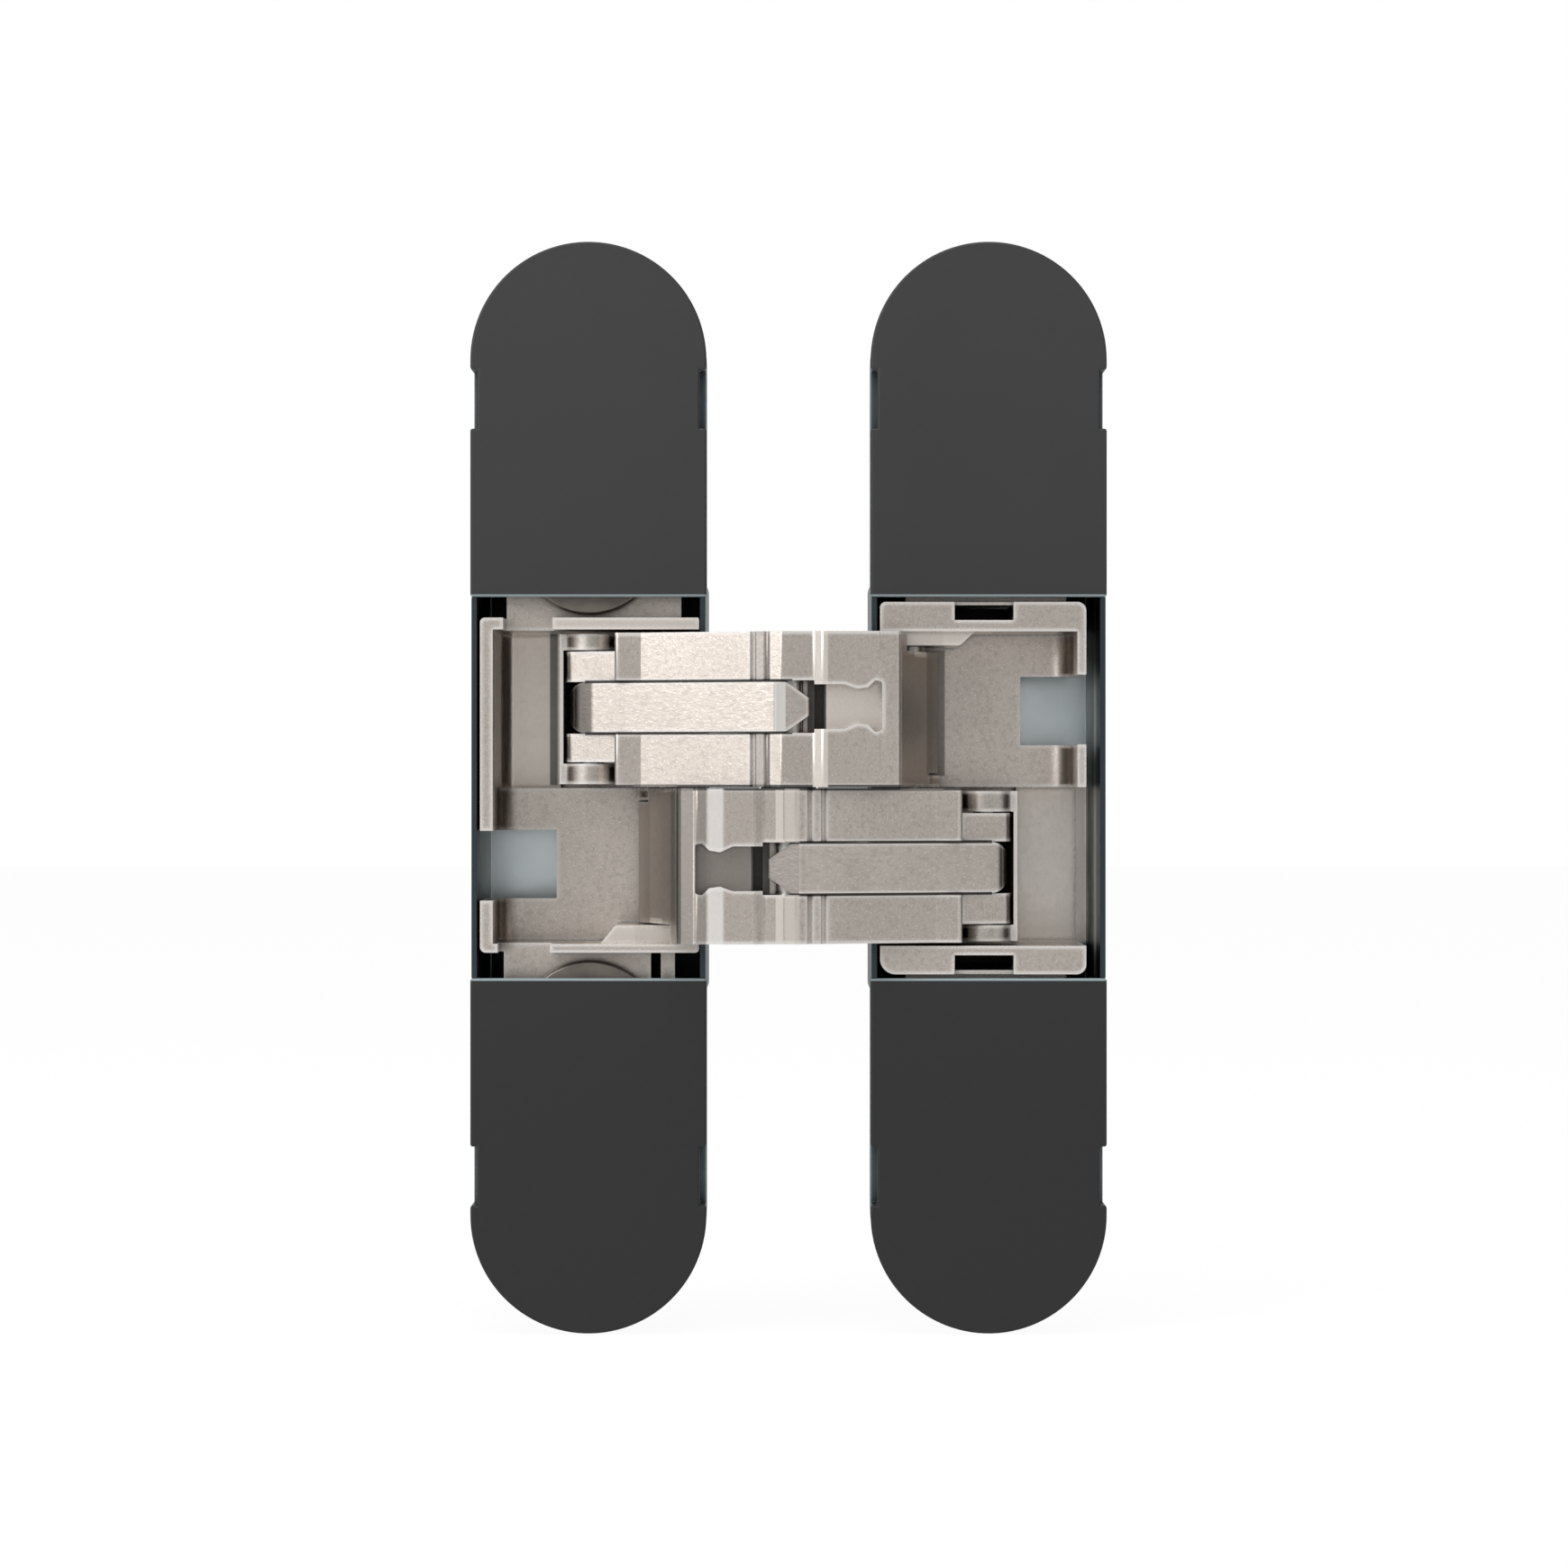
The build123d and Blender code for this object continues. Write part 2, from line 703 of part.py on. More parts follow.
# Carriages
clamp_width = 2 * (clamp_radius + 2 * slide_gap)
frame_ends = (17.3, 16.8)
door_ends = (19.0, 18.9)
frame_wall = 1.3
frame_outer_x = half_pitch + case_width / 2 - window_wall - frame_side_gap
frame_wall_x = frame_wall - frame_outer_x
door_inner_x = half_pitch - case_width / 2 + door_inset
frame_flanges = ((1, -28.9, -11.0), (-1, -29.2, -14.1), (-1, -13.1, -11.65))
frame_high_notch_x = (-29.05, -24.0)
frame_low_notch_x = (-29.6, -24.3)
door_flange_x = (-28.5, -12.0)
door_notch_x = (-22.9, -16.9)
door_notch_low = 17.05
door_notch_high = 18.6
door_notch_step = 1.5
pieces["frame_carriage"] = make_carriage(
    frame_side,
    outer_x=frame_outer_x,
    inner_x=half_pitch - case_width / 2 + frame_inset,
    wall=frame_wall,
    deep_left=frame_wall_x,
    ends=frame_ends,
    rounding=((0.5, 0.2), (0.6, 0.4)),
    root_block=(-19.2, -10.3, 14.05, 3.0),
    flanges=frame_flanges,
    notches=(
        (*frame_high_notch_x, deep_top, case_width, flange_front),
        (*frame_low_notch_x, -case_width, -shallow_bottom, flange_front),
    ),
    adjuster=(disc_height, disc_shaft_radius),
    clamp_slot=(clamp_width, clamp_width + 2 * height_travel),
)
pieces["door_carriage"] = make_carriage(
    door_side,
    outer_x=half_pitch + case_width / 2 - window_wall - door_side_gap,
    inner_x=door_inner_x,
    wall=0.9,
    deep_left=-half_pitch - case_width,
    ends=door_ends,
    rounding=((1.0, 1.6), (0.9, 0.6)),
    root_block=(-19.0, -door_inner_x, 14.5, 1.8),
    flanges=((1, *door_flange_x), (-1, *door_flange_x)),
    notches=(
        (*door_notch_x, door_notch_low, door_notch_high, case_depth),
        (*door_notch_x, door_notch_low, case_width, door_notch_step),
        (*door_notch_x, -door_notch_high, -door_notch_low, case_depth),
        (*door_notch_x, -case_width, -door_notch_low, door_notch_step),
    ),
    adjuster=(cam_height, cam_shaft_radius),
    clamp_slot=(clamp_width + 2 * side_travel, clamp_width),
)

# Adjusters
disc_sizes = (disc_radius, disc_shaft_radius, disc_pin_radius, disc_thick)
cam_sizes = (cam_radius, cam_shaft_radius, cam_pin_radius, disc_thick)
for end in (1, -1):
    frame_place = "upper" if end > 0 else "lower"
    door_place = "lower" if end > 0 else "upper"
    pieces[f"frame_{frame_place}_disc"] = make_adjuster(
        frame_side, end * disc_height, disc_sizes, disc_throw, 0
    )
    pieces[f"door_{door_place}_cam"] = make_adjuster(
        door_side, end * cam_height, cam_sizes, cam_rest_x, cam_rest_y
    )

# Arms, leaves, links and pins
pieces["lower_arm"] = make_arm(frame_side)
pieces["upper_arm"] = make_arm(door_side)
pieces["lower_leaf"] = make_leaf(frame_side)
pieces["upper_leaf"] = make_leaf(door_side)
pieces["frame_link"] = make_link(frame_side)
pieces["door_link"] = make_link(door_side)
pieces["centre_washer"] = make_centre_washer()
pieces["centre_pin"] = pin(frame_side, 0, centre_depth, centre_pin_radius, -ear_high, ear_high)
pieces["lower_arm_pin"] = pin(frame_side, far_x, far_depth, far_pin_radius, -link_high, -link_low)
pieces["upper_arm_pin"] = pin(door_side, far_x, far_depth, far_pin_radius, -link_high, -link_low)
for half_name, side, ends in (("frame", frame_side, frame_ends), ("door", door_side, door_ends)):
    deep_end, shallow_end = ends
    root_place = (side, -root_x, root_depth)
    link_place = (side, -link_x, link_depth)
    pieces[f"{half_name}_root_pin"] = pin(*root_place, root_pin_radius, -shallow_end, pins_meet)
    pieces[f"{half_name}_link_pin"] = pin(*link_place, link_pin_radius, pins_meet, deep_end)

for name, piece in pieces.items():
    piece.label = name
    export_step(piece, f"parts/{name}.step")
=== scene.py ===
"""Concealed door hinge: the looks of every piece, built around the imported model.

Lengths and places are in millimetres unless a docstring says otherwise. X runs across the
two halves from the middle of the frame half, Y runs back from the hinge's face and Z runs up.
"""

import json
import logging
import math
from dataclasses import dataclass, replace
from enum import Enum
from typing import Any, Mapping, Union

import bmesh
import bpy
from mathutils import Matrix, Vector

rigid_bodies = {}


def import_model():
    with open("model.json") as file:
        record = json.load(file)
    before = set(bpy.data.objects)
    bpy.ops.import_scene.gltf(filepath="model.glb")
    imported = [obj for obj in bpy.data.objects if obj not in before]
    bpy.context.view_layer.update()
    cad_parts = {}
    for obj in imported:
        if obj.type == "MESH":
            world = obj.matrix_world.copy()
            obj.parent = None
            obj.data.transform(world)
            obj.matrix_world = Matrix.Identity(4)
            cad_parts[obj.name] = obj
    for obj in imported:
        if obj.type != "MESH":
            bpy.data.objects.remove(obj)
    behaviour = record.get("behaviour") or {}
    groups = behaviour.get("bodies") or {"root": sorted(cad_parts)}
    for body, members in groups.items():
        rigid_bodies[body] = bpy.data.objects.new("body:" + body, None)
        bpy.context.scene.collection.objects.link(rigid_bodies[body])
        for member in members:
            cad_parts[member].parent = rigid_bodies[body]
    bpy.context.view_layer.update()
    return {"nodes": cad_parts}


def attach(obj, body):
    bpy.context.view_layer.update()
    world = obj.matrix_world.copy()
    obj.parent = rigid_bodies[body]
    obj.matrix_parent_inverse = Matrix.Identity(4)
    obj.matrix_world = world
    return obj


LOG = logging.getLogger("hinge")

Triple = tuple[float, float, float]
Number = Union["Sock", float]

# One millimetre in metres, and one metre in millimetres.
MM = 0.001
MM_PER_METRE = 1000.0
# Distance from the middle of a half to the middle of the hinge, and the depth of the face.
HALF_PITCH = 20.35
FACE_Y = -12.5
NOISE_MIDDLE = 0.5
EDGE_SAMPLES = 8
CROWD_SAMPLES = 6
EVEN = (1.0, 1.0, 1.0)
WHITE = (1.0, 1.0, 1.0)

# Tones of the patches of painted light and shade, from the darkest to the lightest: near-black
# painted shade for gaps, seams and recesses, painted shadows, pale painted light on lit faces and
# a painted highlight for glints.
PAINTED_BLACK_SHADE = (0.03, 0.027, 0.025)
PAINTED_NEAR_BLACK_SHADE = (0.12, 0.11, 0.1)
DEEP_SHADOW = (0.18, 0.165, 0.15)
SHADOW = (0.3, 0.27, 0.25)
PAINTED_PALE_LIGHT = (0.93, 0.86, 0.79)
PAINTED_HIGHLIGHT = (1.0, 0.97, 0.93)


class Side(Enum):
    """The two halves of the hinge, by the word that starts their pieces' names."""

    FRAME = "frame"
    DOOR = "door"


class Way(Enum):
    """Upper and lower, by the word in the pieces' names."""

    UPPER = "upper"
    LOWER = "lower"


def linear(red: int, green: int, blue: int) -> Triple:
    """Turn a screen colour into the linear values that shaders use.

    Args:
        red: Red from 0 to 255.
        green: Green from 0 to 255.
        blue: Blue from 0 to 255.

    Returns:
        The three linear channels.
    """

    def channel(value: int) -> float:
        """Linear value of one screen channel, by the standard screen curve."""
        share = value / 255
        return share / 12.92 if share <= 0.04045 else ((share + 0.055) / 1.055) ** 2.4

    return channel(red), channel(green), channel(blue)


def dimmed(colour: Triple, share: float) -> Triple:
    """Colour with every channel brought down to a share of itself."""
    return colour[0] * share, colour[1] * share, colour[2] * share


class Sock:
    """A socket that can be used in plain arithmetic."""

    def __init__(self, graph: "Graph", socket: bpy.types.NodeSocket) -> None:
        """Keep the graph that the socket belongs to, and the socket."""
        self.graph = graph
        self.socket = socket

    def __add__(self, other: Number) -> "Sock":
        """Sum of two values."""
        return self.graph.math("ADD", self, other)

    def __radd__(self, other: Number) -> "Sock":
        """Sum with the plain number first."""
        return self.graph.math("ADD", other, self)

    def __sub__(self, other: Number) -> "Sock":
        """Difference of two values."""
        return self.graph.math("SUBTRACT", self, other)

    def __rsub__(self, other: Number) -> "Sock":
        """Difference with the plain number first."""
        return self.graph.math("SUBTRACT", other, self)

    def __mul__(self, other: Number) -> "Sock":
        """Product of two values."""
        return self.graph.math("MULTIPLY", self, other)

    def __rmul__(self, other: Number) -> "Sock":
        """Product with the plain number first."""
        return self.graph.math("MULTIPLY", other, self)

    def absolute(self) -> "Sock":
        """Value without its sign."""
        return self.graph.math("ABSOLUTE", self)

    def clamp(self) -> "Sock":
        """Value held between 0 and 1."""
        return self.graph.math("ADD", self, 0.0, clamp=True)

    def ramp(self, low: float, high: float) -> "Sock":
        """Smooth rise from 0 at low to 1 at high.

        Args:
            low: Value where the rise starts.
            high: Value where it ends.

        Returns:
            The eased value.
        """
        node = self.graph.node(
            "ShaderNodeMapRange",
            {"interpolation_type": "SMOOTHSTEP"},
            {"Value": self, "From Min": low, "From Max": high},
        )
        return Sock(self.graph, node.outputs["Result"])


@dataclass(frozen=True)
class Rise:
    """Smooth rise from nothing to a share, used as a mask.

    Attributes:
        low: Value where the rise starts.
        high: Value where it ends.
        share: Height that it reaches.
    """

    low: float
    high: float
    share: float = 1.0

    def over(self, value: Sock) -> Sock:
        """The rise over a value."""
        eased = value.ramp(self.low, self.high)
        return eased if self.share == 1.0 else eased * self.share


# How far a rounded normal leans away from its face, from flat to sharp.
EDGE_RISE = Rise(0.004, 0.07)


@dataclass(frozen=True)
class Grain:
    """Fineness of a noise.

    Attributes:
        scale: Cells per millimetre.
        detail: Number of finer layers.
        stretch: Scale along each axis, below 1 for streaks along it.
    """

    scale: float
    detail: float
    stretch: Triple = EVEN


class Graph:
    """The node tree of one material or world, and the ways to add to it."""

    def __init__(self, tree: bpy.types.NodeTree) -> None:
        """Empty the tree before anything is added."""
        self.tree = tree
        self.tree.nodes.clear()

    def node(
        self, kind: str, settings: Mapping[str, Any], values: Mapping[Any, Any]
    ) -> bpy.types.Node:
        """Add a node, set it up and feed its sockets.

        Args:
            kind: Blender's type name of the node.
            settings: Properties of the node, which are set first.
            values: Socket name or index to a value or to a linked socket.

        Returns:
            The new node.
        """
        made = self.tree.nodes.new(kind)
        for key, value in settings.items():
            setattr(made, key, value)
        for key, value in values.items():
            if isinstance(value, Sock):
                self.tree.links.new(value.socket, made.inputs[key])
            elif isinstance(value, tuple) and made.inputs[key].type == "RGBA":
                made.inputs[key].default_value = (*value, 1.0)
            else:
                made.inputs[key].default_value = value
        return made

    def math(self, operation: str, *values: Number, clamp: bool = False) -> Sock:
        """Add a Math node.

        Args:
            operation: The node's operation.
            values: Its inputs, in order.
            clamp: Whether the result is held between 0 and 1.

        Returns:
            The result.
        """
        settings = {"operation": operation, "use_clamp": clamp}
        made = self.node("ShaderNodeMath", settings, dict(enumerate(values)))
        return Sock(self, made.outputs[0])

    def vector(self, operation: str, *values: Any) -> Sock:
        """Add a Vector Math node.

        Args:
            operation: The node's operation.
            values: Its inputs, in order.

        Returns:
            The result, a number for a dot product and otherwise a vector.
        """
        made = self.node(
            "ShaderNodeVectorMath", {"operation": operation}, dict(enumerate(values))
        )
        return Sock(self, made.outputs["Value" if operation == "DOT_PRODUCT" else "Vector"])

    def mix(self, factor: Number, first: Any, second: Any) -> Sock:
        """Mix two colours, with the node's sockets 6 and 7 as its colours and 2 as its result.

        Args:
            factor: Share of the second colour.
            first: Colour or socket at 0.
            second: Colour or socket at 1.

        Returns:
            The mixed colour.
        """
        settings = {"data_type": "RGBA", "blend_type": "MIX"}
        made = self.node("ShaderNodeMix", settings, {0: factor, 6: first, 7: second})
        return Sock(self, made.outputs[2])

    def place(self) -> Sock:
        """Place on the piece, which moves with it.

        Returns:
            The place as a vector in millimetres.
        """
        made = self.node("ShaderNodeTexCoord", {}, {})
        scale = (MM_PER_METRE, MM_PER_METRE, MM_PER_METRE)
        return self.vector("MULTIPLY", Sock(self, made.outputs["Object"]), scale)

    def noise(self, at: Sock, grain: Grain) -> Sock:
        """Add a noise texture.

        Args:
            at: Place.
            grain: Its fineness.

        Returns:
            The noise value, about 0.3 to 0.7.
        """
        spread = self.vector("MULTIPLY", at, grain.stretch)
        values = {"Vector": spread, "Scale": grain.scale, "Detail": grain.detail}
        return Sock(self, self.node("ShaderNodeTexNoise", {}, values).outputs[0])

    def parts(self, vector: Sock) -> tuple[Sock, Sock, Sock]:
        """X, Y and Z of a vector."""
        outputs = self.node("ShaderNodeSeparateXYZ", {}, {0: vector}).outputs
        return Sock(self, outputs[0]), Sock(self, outputs[1]), Sock(self, outputs[2])

    def edge(self, radius: float) -> Sock:
        """Mask of the piece's sharp edges.

        Args:
            radius: Width of the mask.

        Returns:
            0 on flat faces, up to 1 on edges.
        """
        soft = self.node(
            "ShaderNodeBevel", {"samples": EDGE_SAMPLES}, {"Radius": radius * MM}
        )
        plain = self.node("ShaderNodeNewGeometry", {}, {})
        agree = self.vector(
            "DOT_PRODUCT", Sock(self, soft.outputs[0]), Sock(self, plain.outputs["Normal"])
        )
        return EDGE_RISE.over(1.0 - agree)

    def crowding(self, reach: float) -> Sock:
        """How crowded a place is, from 0 in the open to 1 in a deep corner.

        Args:
            reach: How far away other surfaces count.

        Returns:
            The crowding.
        """
        settings = {"samples": CROWD_SAMPLES}
        made = self.node("ShaderNodeAmbientOcclusion", settings, {"Distance": reach * MM})
        return 1.0 - Sock(self, made.outputs["AO"])

    def bump(self, height: Sock, depth: float) -> Sock:
        """Bumped normal.

        Args:
            height: Height from 0 to 1.
            depth: Length that a height of 1 stands for.

        Returns:
            The normal.
        """
        values = {"Height": height, "Distance": depth * MM, "Strength": 1.0}
        return Sock(self, self.node("ShaderNodeBump", {}, values).outputs[0])

    def surface(self, values: Mapping[str, Any]) -> None:
        """End the tree in one Principled shader with these inputs."""
        shader = self.node("ShaderNodeBsdfPrincipled", {}, values)
        self.node("ShaderNodeOutputMaterial", {}, {"Surface": Sock(self, shader.outputs[0])})


def new_graph(name: str) -> tuple[bpy.types.Material, Graph]:
    """Make a material and the graph of its nodes.

    Args:
        name: Name of the material.

    Returns:
        The material and its graph.
    """
    material = bpy.data.materials.new(name)
    material.use_nodes = True
    return material, Graph(material.node_tree)


@dataclass(frozen=True)
class Patch:
    """Box on a piece where light or shade is painted into its colour, such as painted shade in a
    gap.

    Attributes:
        spot: What lies there, for the log.
        low: Least x, y and z.
        high: Greatest x, y and z.
        tone: Painted colour there.
        share: How much of that colour shows.
        soft: Width of the fading sides.
    """

    spot: str
    low: Triple
    high: Triple
    tone: Triple
    share: float = 0.9
    soft: float = 0.1

    def turned(self) -> "Patch":
        """Turn the patch by half a turn about the hinge's middle, to the other arm.

        Returns:
            The patch of the other arm.
        """
        low = (2 * HALF_PITCH - self.high[0], self.low[1], -self.high[2])
        high = (2 * HALF_PITCH - self.low[0], self.high[1], -self.low[2])
        return Patch(f"other {self.spot}", low, high, self.tone, self.share, self.soft)

    def mask(self, graph: Graph, at: Sock) -> Sock:
        """Mask of the patch's box.

        Args:
            graph: The graph to add it to.
            at: Place.

        Returns:
            1 inside the box, 0 outside.
        """
        along_x, along_y, along_z = [
            Rise(low - self.soft, low).over(value)
            * (1.0 - Rise(high, high + self.soft).over(value))
            for value, low, high in zip(graph.parts(at), self.low, self.high)
        ]
        return along_x * along_y * along_z


@dataclass(frozen=True)
class Sheen:
    """How the roughness of a surface varies.

    Attributes:
        by_grain: Change over the fine grain.
        by_cloud: Change over the broad clouds.
    """

    by_grain: float
    by_cloud: float

    def over(self, rough: float, grain: Sock, cloud: Sock) -> Sock:
        """Roughness that varies with two noises.

        Args:
            rough: Roughness in the middle.
            grain: Noise of the fine grain.
            cloud: Noise of the broad clouds.

        Returns:
            The roughness.
        """
        by_grain = self.by_grain * (grain - NOISE_MIDDLE)
        by_cloud = self.by_cloud * (cloud - NOISE_MIDDLE)
        return rough + by_grain + by_cloud


@dataclass(frozen=True)
class SatinMetal:
    """Cast or ground metal with a fine speckle, tonal patches and light edges, with painted shade
    in hollows and where pieces meet, and boxes of painted light and shade.

    Attributes:
        name: Name of the material.
        tone: Main reflecting colour.
        dull: Colour of its darker patches.
        light: Colour of its worn edges and brightest grains.
        rough: Roughness of the open surface.
        depth: Depth of the fine speckle.
        streak: Stretch of the speckle and of the finest grains along each axis.
        patches: Boxes of painted light and shade.
        cloud: Fineness of the broad clouds.
        speckle: Fineness of the speckle.
        fine: Fineness of the finest grains.
        cloud_tone: Rise of the dull tone over the clouds.
        speckle_tone: Rise of the dull tone over the speckle.
        fine_tone: Rise of the light tone over the finest grains.
        hollow_tone: Rise of the painted shade in hollows.
        contact_tone: Rise of the painted shade where pieces meet.
        hollow_reach: How far away surfaces make a hollow.
        contact_reach: How far away surfaces make a contact.
        shade_share: Brightness of the painted shade against the dull tone.
        edge_width: Reach of the light edge.
        edge_light: How far edges turn towards the light tone.
        edge_dust: How far the worn edges lose their metal shine.
        edge_gloss: How much smoother the edges are than the open surface.
        sheen: How the roughness varies.
        speckle_height: Share of the speckle in the bump, the rest being the finest grains.
    """

    name: str
    tone: Triple
    dull: Triple
    light: Triple = (0.93, 0.89, 0.85)
    rough: float = 0.34
    depth: float = 0.02
    streak: Triple = EVEN
    patches: tuple[Patch, ...] = ()
    cloud: Grain = Grain(0.12, 3.0)
    speckle: Grain = Grain(2.2, 3.0)
    fine: Grain = Grain(6.0, 2.0)
    cloud_tone: Rise = Rise(0.35, 0.7, 0.3)
    speckle_tone: Rise = Rise(0.45, 0.7, 0.5)
    fine_tone: Rise = Rise(0.53, 0.72, 0.45)
    hollow_tone: Rise = Rise(0.25, 0.95, 0.6)
    contact_tone: Rise = Rise(0.2, 0.6, 0.6)
    hollow_reach: float = 3.0
    contact_reach: float = 0.7
    shade_share: float = 0.12
    edge_width: float = 0.9
    edge_light: float = 0.8
    edge_dust: float = 0.65
    edge_gloss: float = 0.06
    sheen: Sheen = Sheen(0.12, 0.1)
    speckle_height: float = 0.6

    def material(self) -> bpy.types.Material:
        """Build the material.

        Returns:
            The material.
        """
        material, graph = new_graph(self.name)
        at = graph.place()
        cloud = graph.noise(at, self.cloud)
        speckle = graph.noise(at, replace(self.speckle, stretch=self.streak))
        fine = graph.noise(at, replace(self.fine, stretch=self.streak))
        edge = graph.edge(self.edge_width)
        hollow = graph.crowding(self.hollow_reach)
        contact = graph.crowding(self.contact_reach)
        # Painted shade, a dimmed dull tone, for hollows and for where pieces meet.
        painted_shade = dimmed(self.dull, self.shade_share)
        tone = graph.mix(self.cloud_tone.over(cloud), self.tone, self.dull)
        tone = graph.mix(self.speckle_tone.over(speckle), tone, self.dull)
        tone = graph.mix(self.fine_tone.over(fine), tone, self.light)
        tone = graph.mix(edge * self.edge_light, tone, self.light)
        # Painted shade in hollows and where pieces meet.
        tone = graph.mix(self.hollow_tone.over(hollow), tone, painted_shade)
        tone = graph.mix(self.contact_tone.over(contact), tone, painted_shade)
        # Boxes of painted light and shade: painted shadows, pale painted light and painted
        # highlights.
        for patch in self.patches:
            tone = graph.mix(patch.mask(graph, at) * patch.share, tone, patch.tone)
            LOG.debug("%s has a patch on the %s", self.name, patch.spot)
        rough = self.sheen.over(self.rough, speckle, cloud) - self.edge_gloss * edge
        height = self.speckle_height * speckle + (1.0 - self.speckle_height) * fine
        graph.surface(
            {
                "Base Color": tone,
                "Metallic": 1.0 - edge * self.edge_dust,
                "Roughness": rough.clamp(),
                "Normal": graph.bump(height, self.depth),
            }
        )
        return material


@dataclass(frozen=True)
class CoverPlastic:
    """Satin charcoal plastic of the snap covers, with a fine spark-eroded grain, painted light
    that makes the top lighter and a painted highlight line along each inner end.

    Attributes:
        name: Name of the material.
        tone: Colour at the top, where the painted light is strongest.
        low_tone: Darker colour at the bottom, as painted shade, and in the clouds.
        worn: Colour of the edges.
        lip_highlight: Colour of the painted highlight line along each cover's inner end.
        rough: Roughness.
        depth: Depth of the grain.
        grain: Fineness of the grain.
        cloud: Fineness of the broad clouds.
        painted_top_light: Rise of the upper tone with height, painted light that makes the top
            lighter.
        cloud_tone: Rise of the darker tone over the clouds.
        lip_end: Heights between which the painted highlight line fades.
        lip_share: How much of the painted highlight line shows.
        edge_width: Reach of the worn edge.
        edge_share: How much of the worn tone shows on edges.
        sheen: How the roughness varies.
        specular: Strength of the plain reflection.
    """

    name: str = "cover_charcoal"
    tone: Triple = linear(59, 59, 60)
    low_tone: Triple = linear(38, 38, 39)
    worn: Triple = linear(76, 80, 83)
    lip_highlight: Triple = linear(176, 194, 199)
    rough: float = 0.42
    depth: float = 0.008
    grain: Grain = Grain(5.0, 3.0)
    cloud: Grain = Grain(0.05, 2.0)
    painted_top_light: Rise = Rise(-40.0, 55.0)
    cloud_tone: Rise = Rise(0.3, 0.7, 0.15)
    lip_end: Rise = Rise(19.55, 19.7)
    lip_share: float = 0.8
    edge_width: float = 0.25
    edge_share: float = 0.5
    sheen: Sheen = Sheen(0.1, 0.05)
    specular: float = 0.45

    def material(self) -> bpy.types.Material:
        """Build the material.

        Returns:
            The material.
        """
        material, graph = new_graph(self.name)
        at = graph.place()
        grain = graph.noise(at, self.grain)
        cloud = graph.noise(at, self.cloud)
        edge = graph.edge(self.edge_width)
        up = graph.parts(at)[2]
        lip_highlight = 1.0 - self.lip_end.over(up.absolute())
        # Painted light: lighter towards the top, darker towards the bottom.
        tone = graph.mix(self.painted_top_light.over(up), self.low_tone, self.tone)
        tone = graph.mix(self.cloud_tone.over(cloud), tone, self.low_tone)
        tone = graph.mix(edge * self.edge_share, tone, self.worn)
        # Painted highlight line along each cover's inner end.
        tone = graph.mix(lip_highlight * self.lip_share, tone, self.lip_highlight)
        graph.surface(
            {
                "Base Color": tone,
                "Metallic": 0.0,
                "Roughness": self.sheen.over(self.rough, grain, cloud).clamp(),
                "Normal": graph.bump(grain, self.depth),
                "Specular IOR Level": self.specular,
            }
        )
        return material


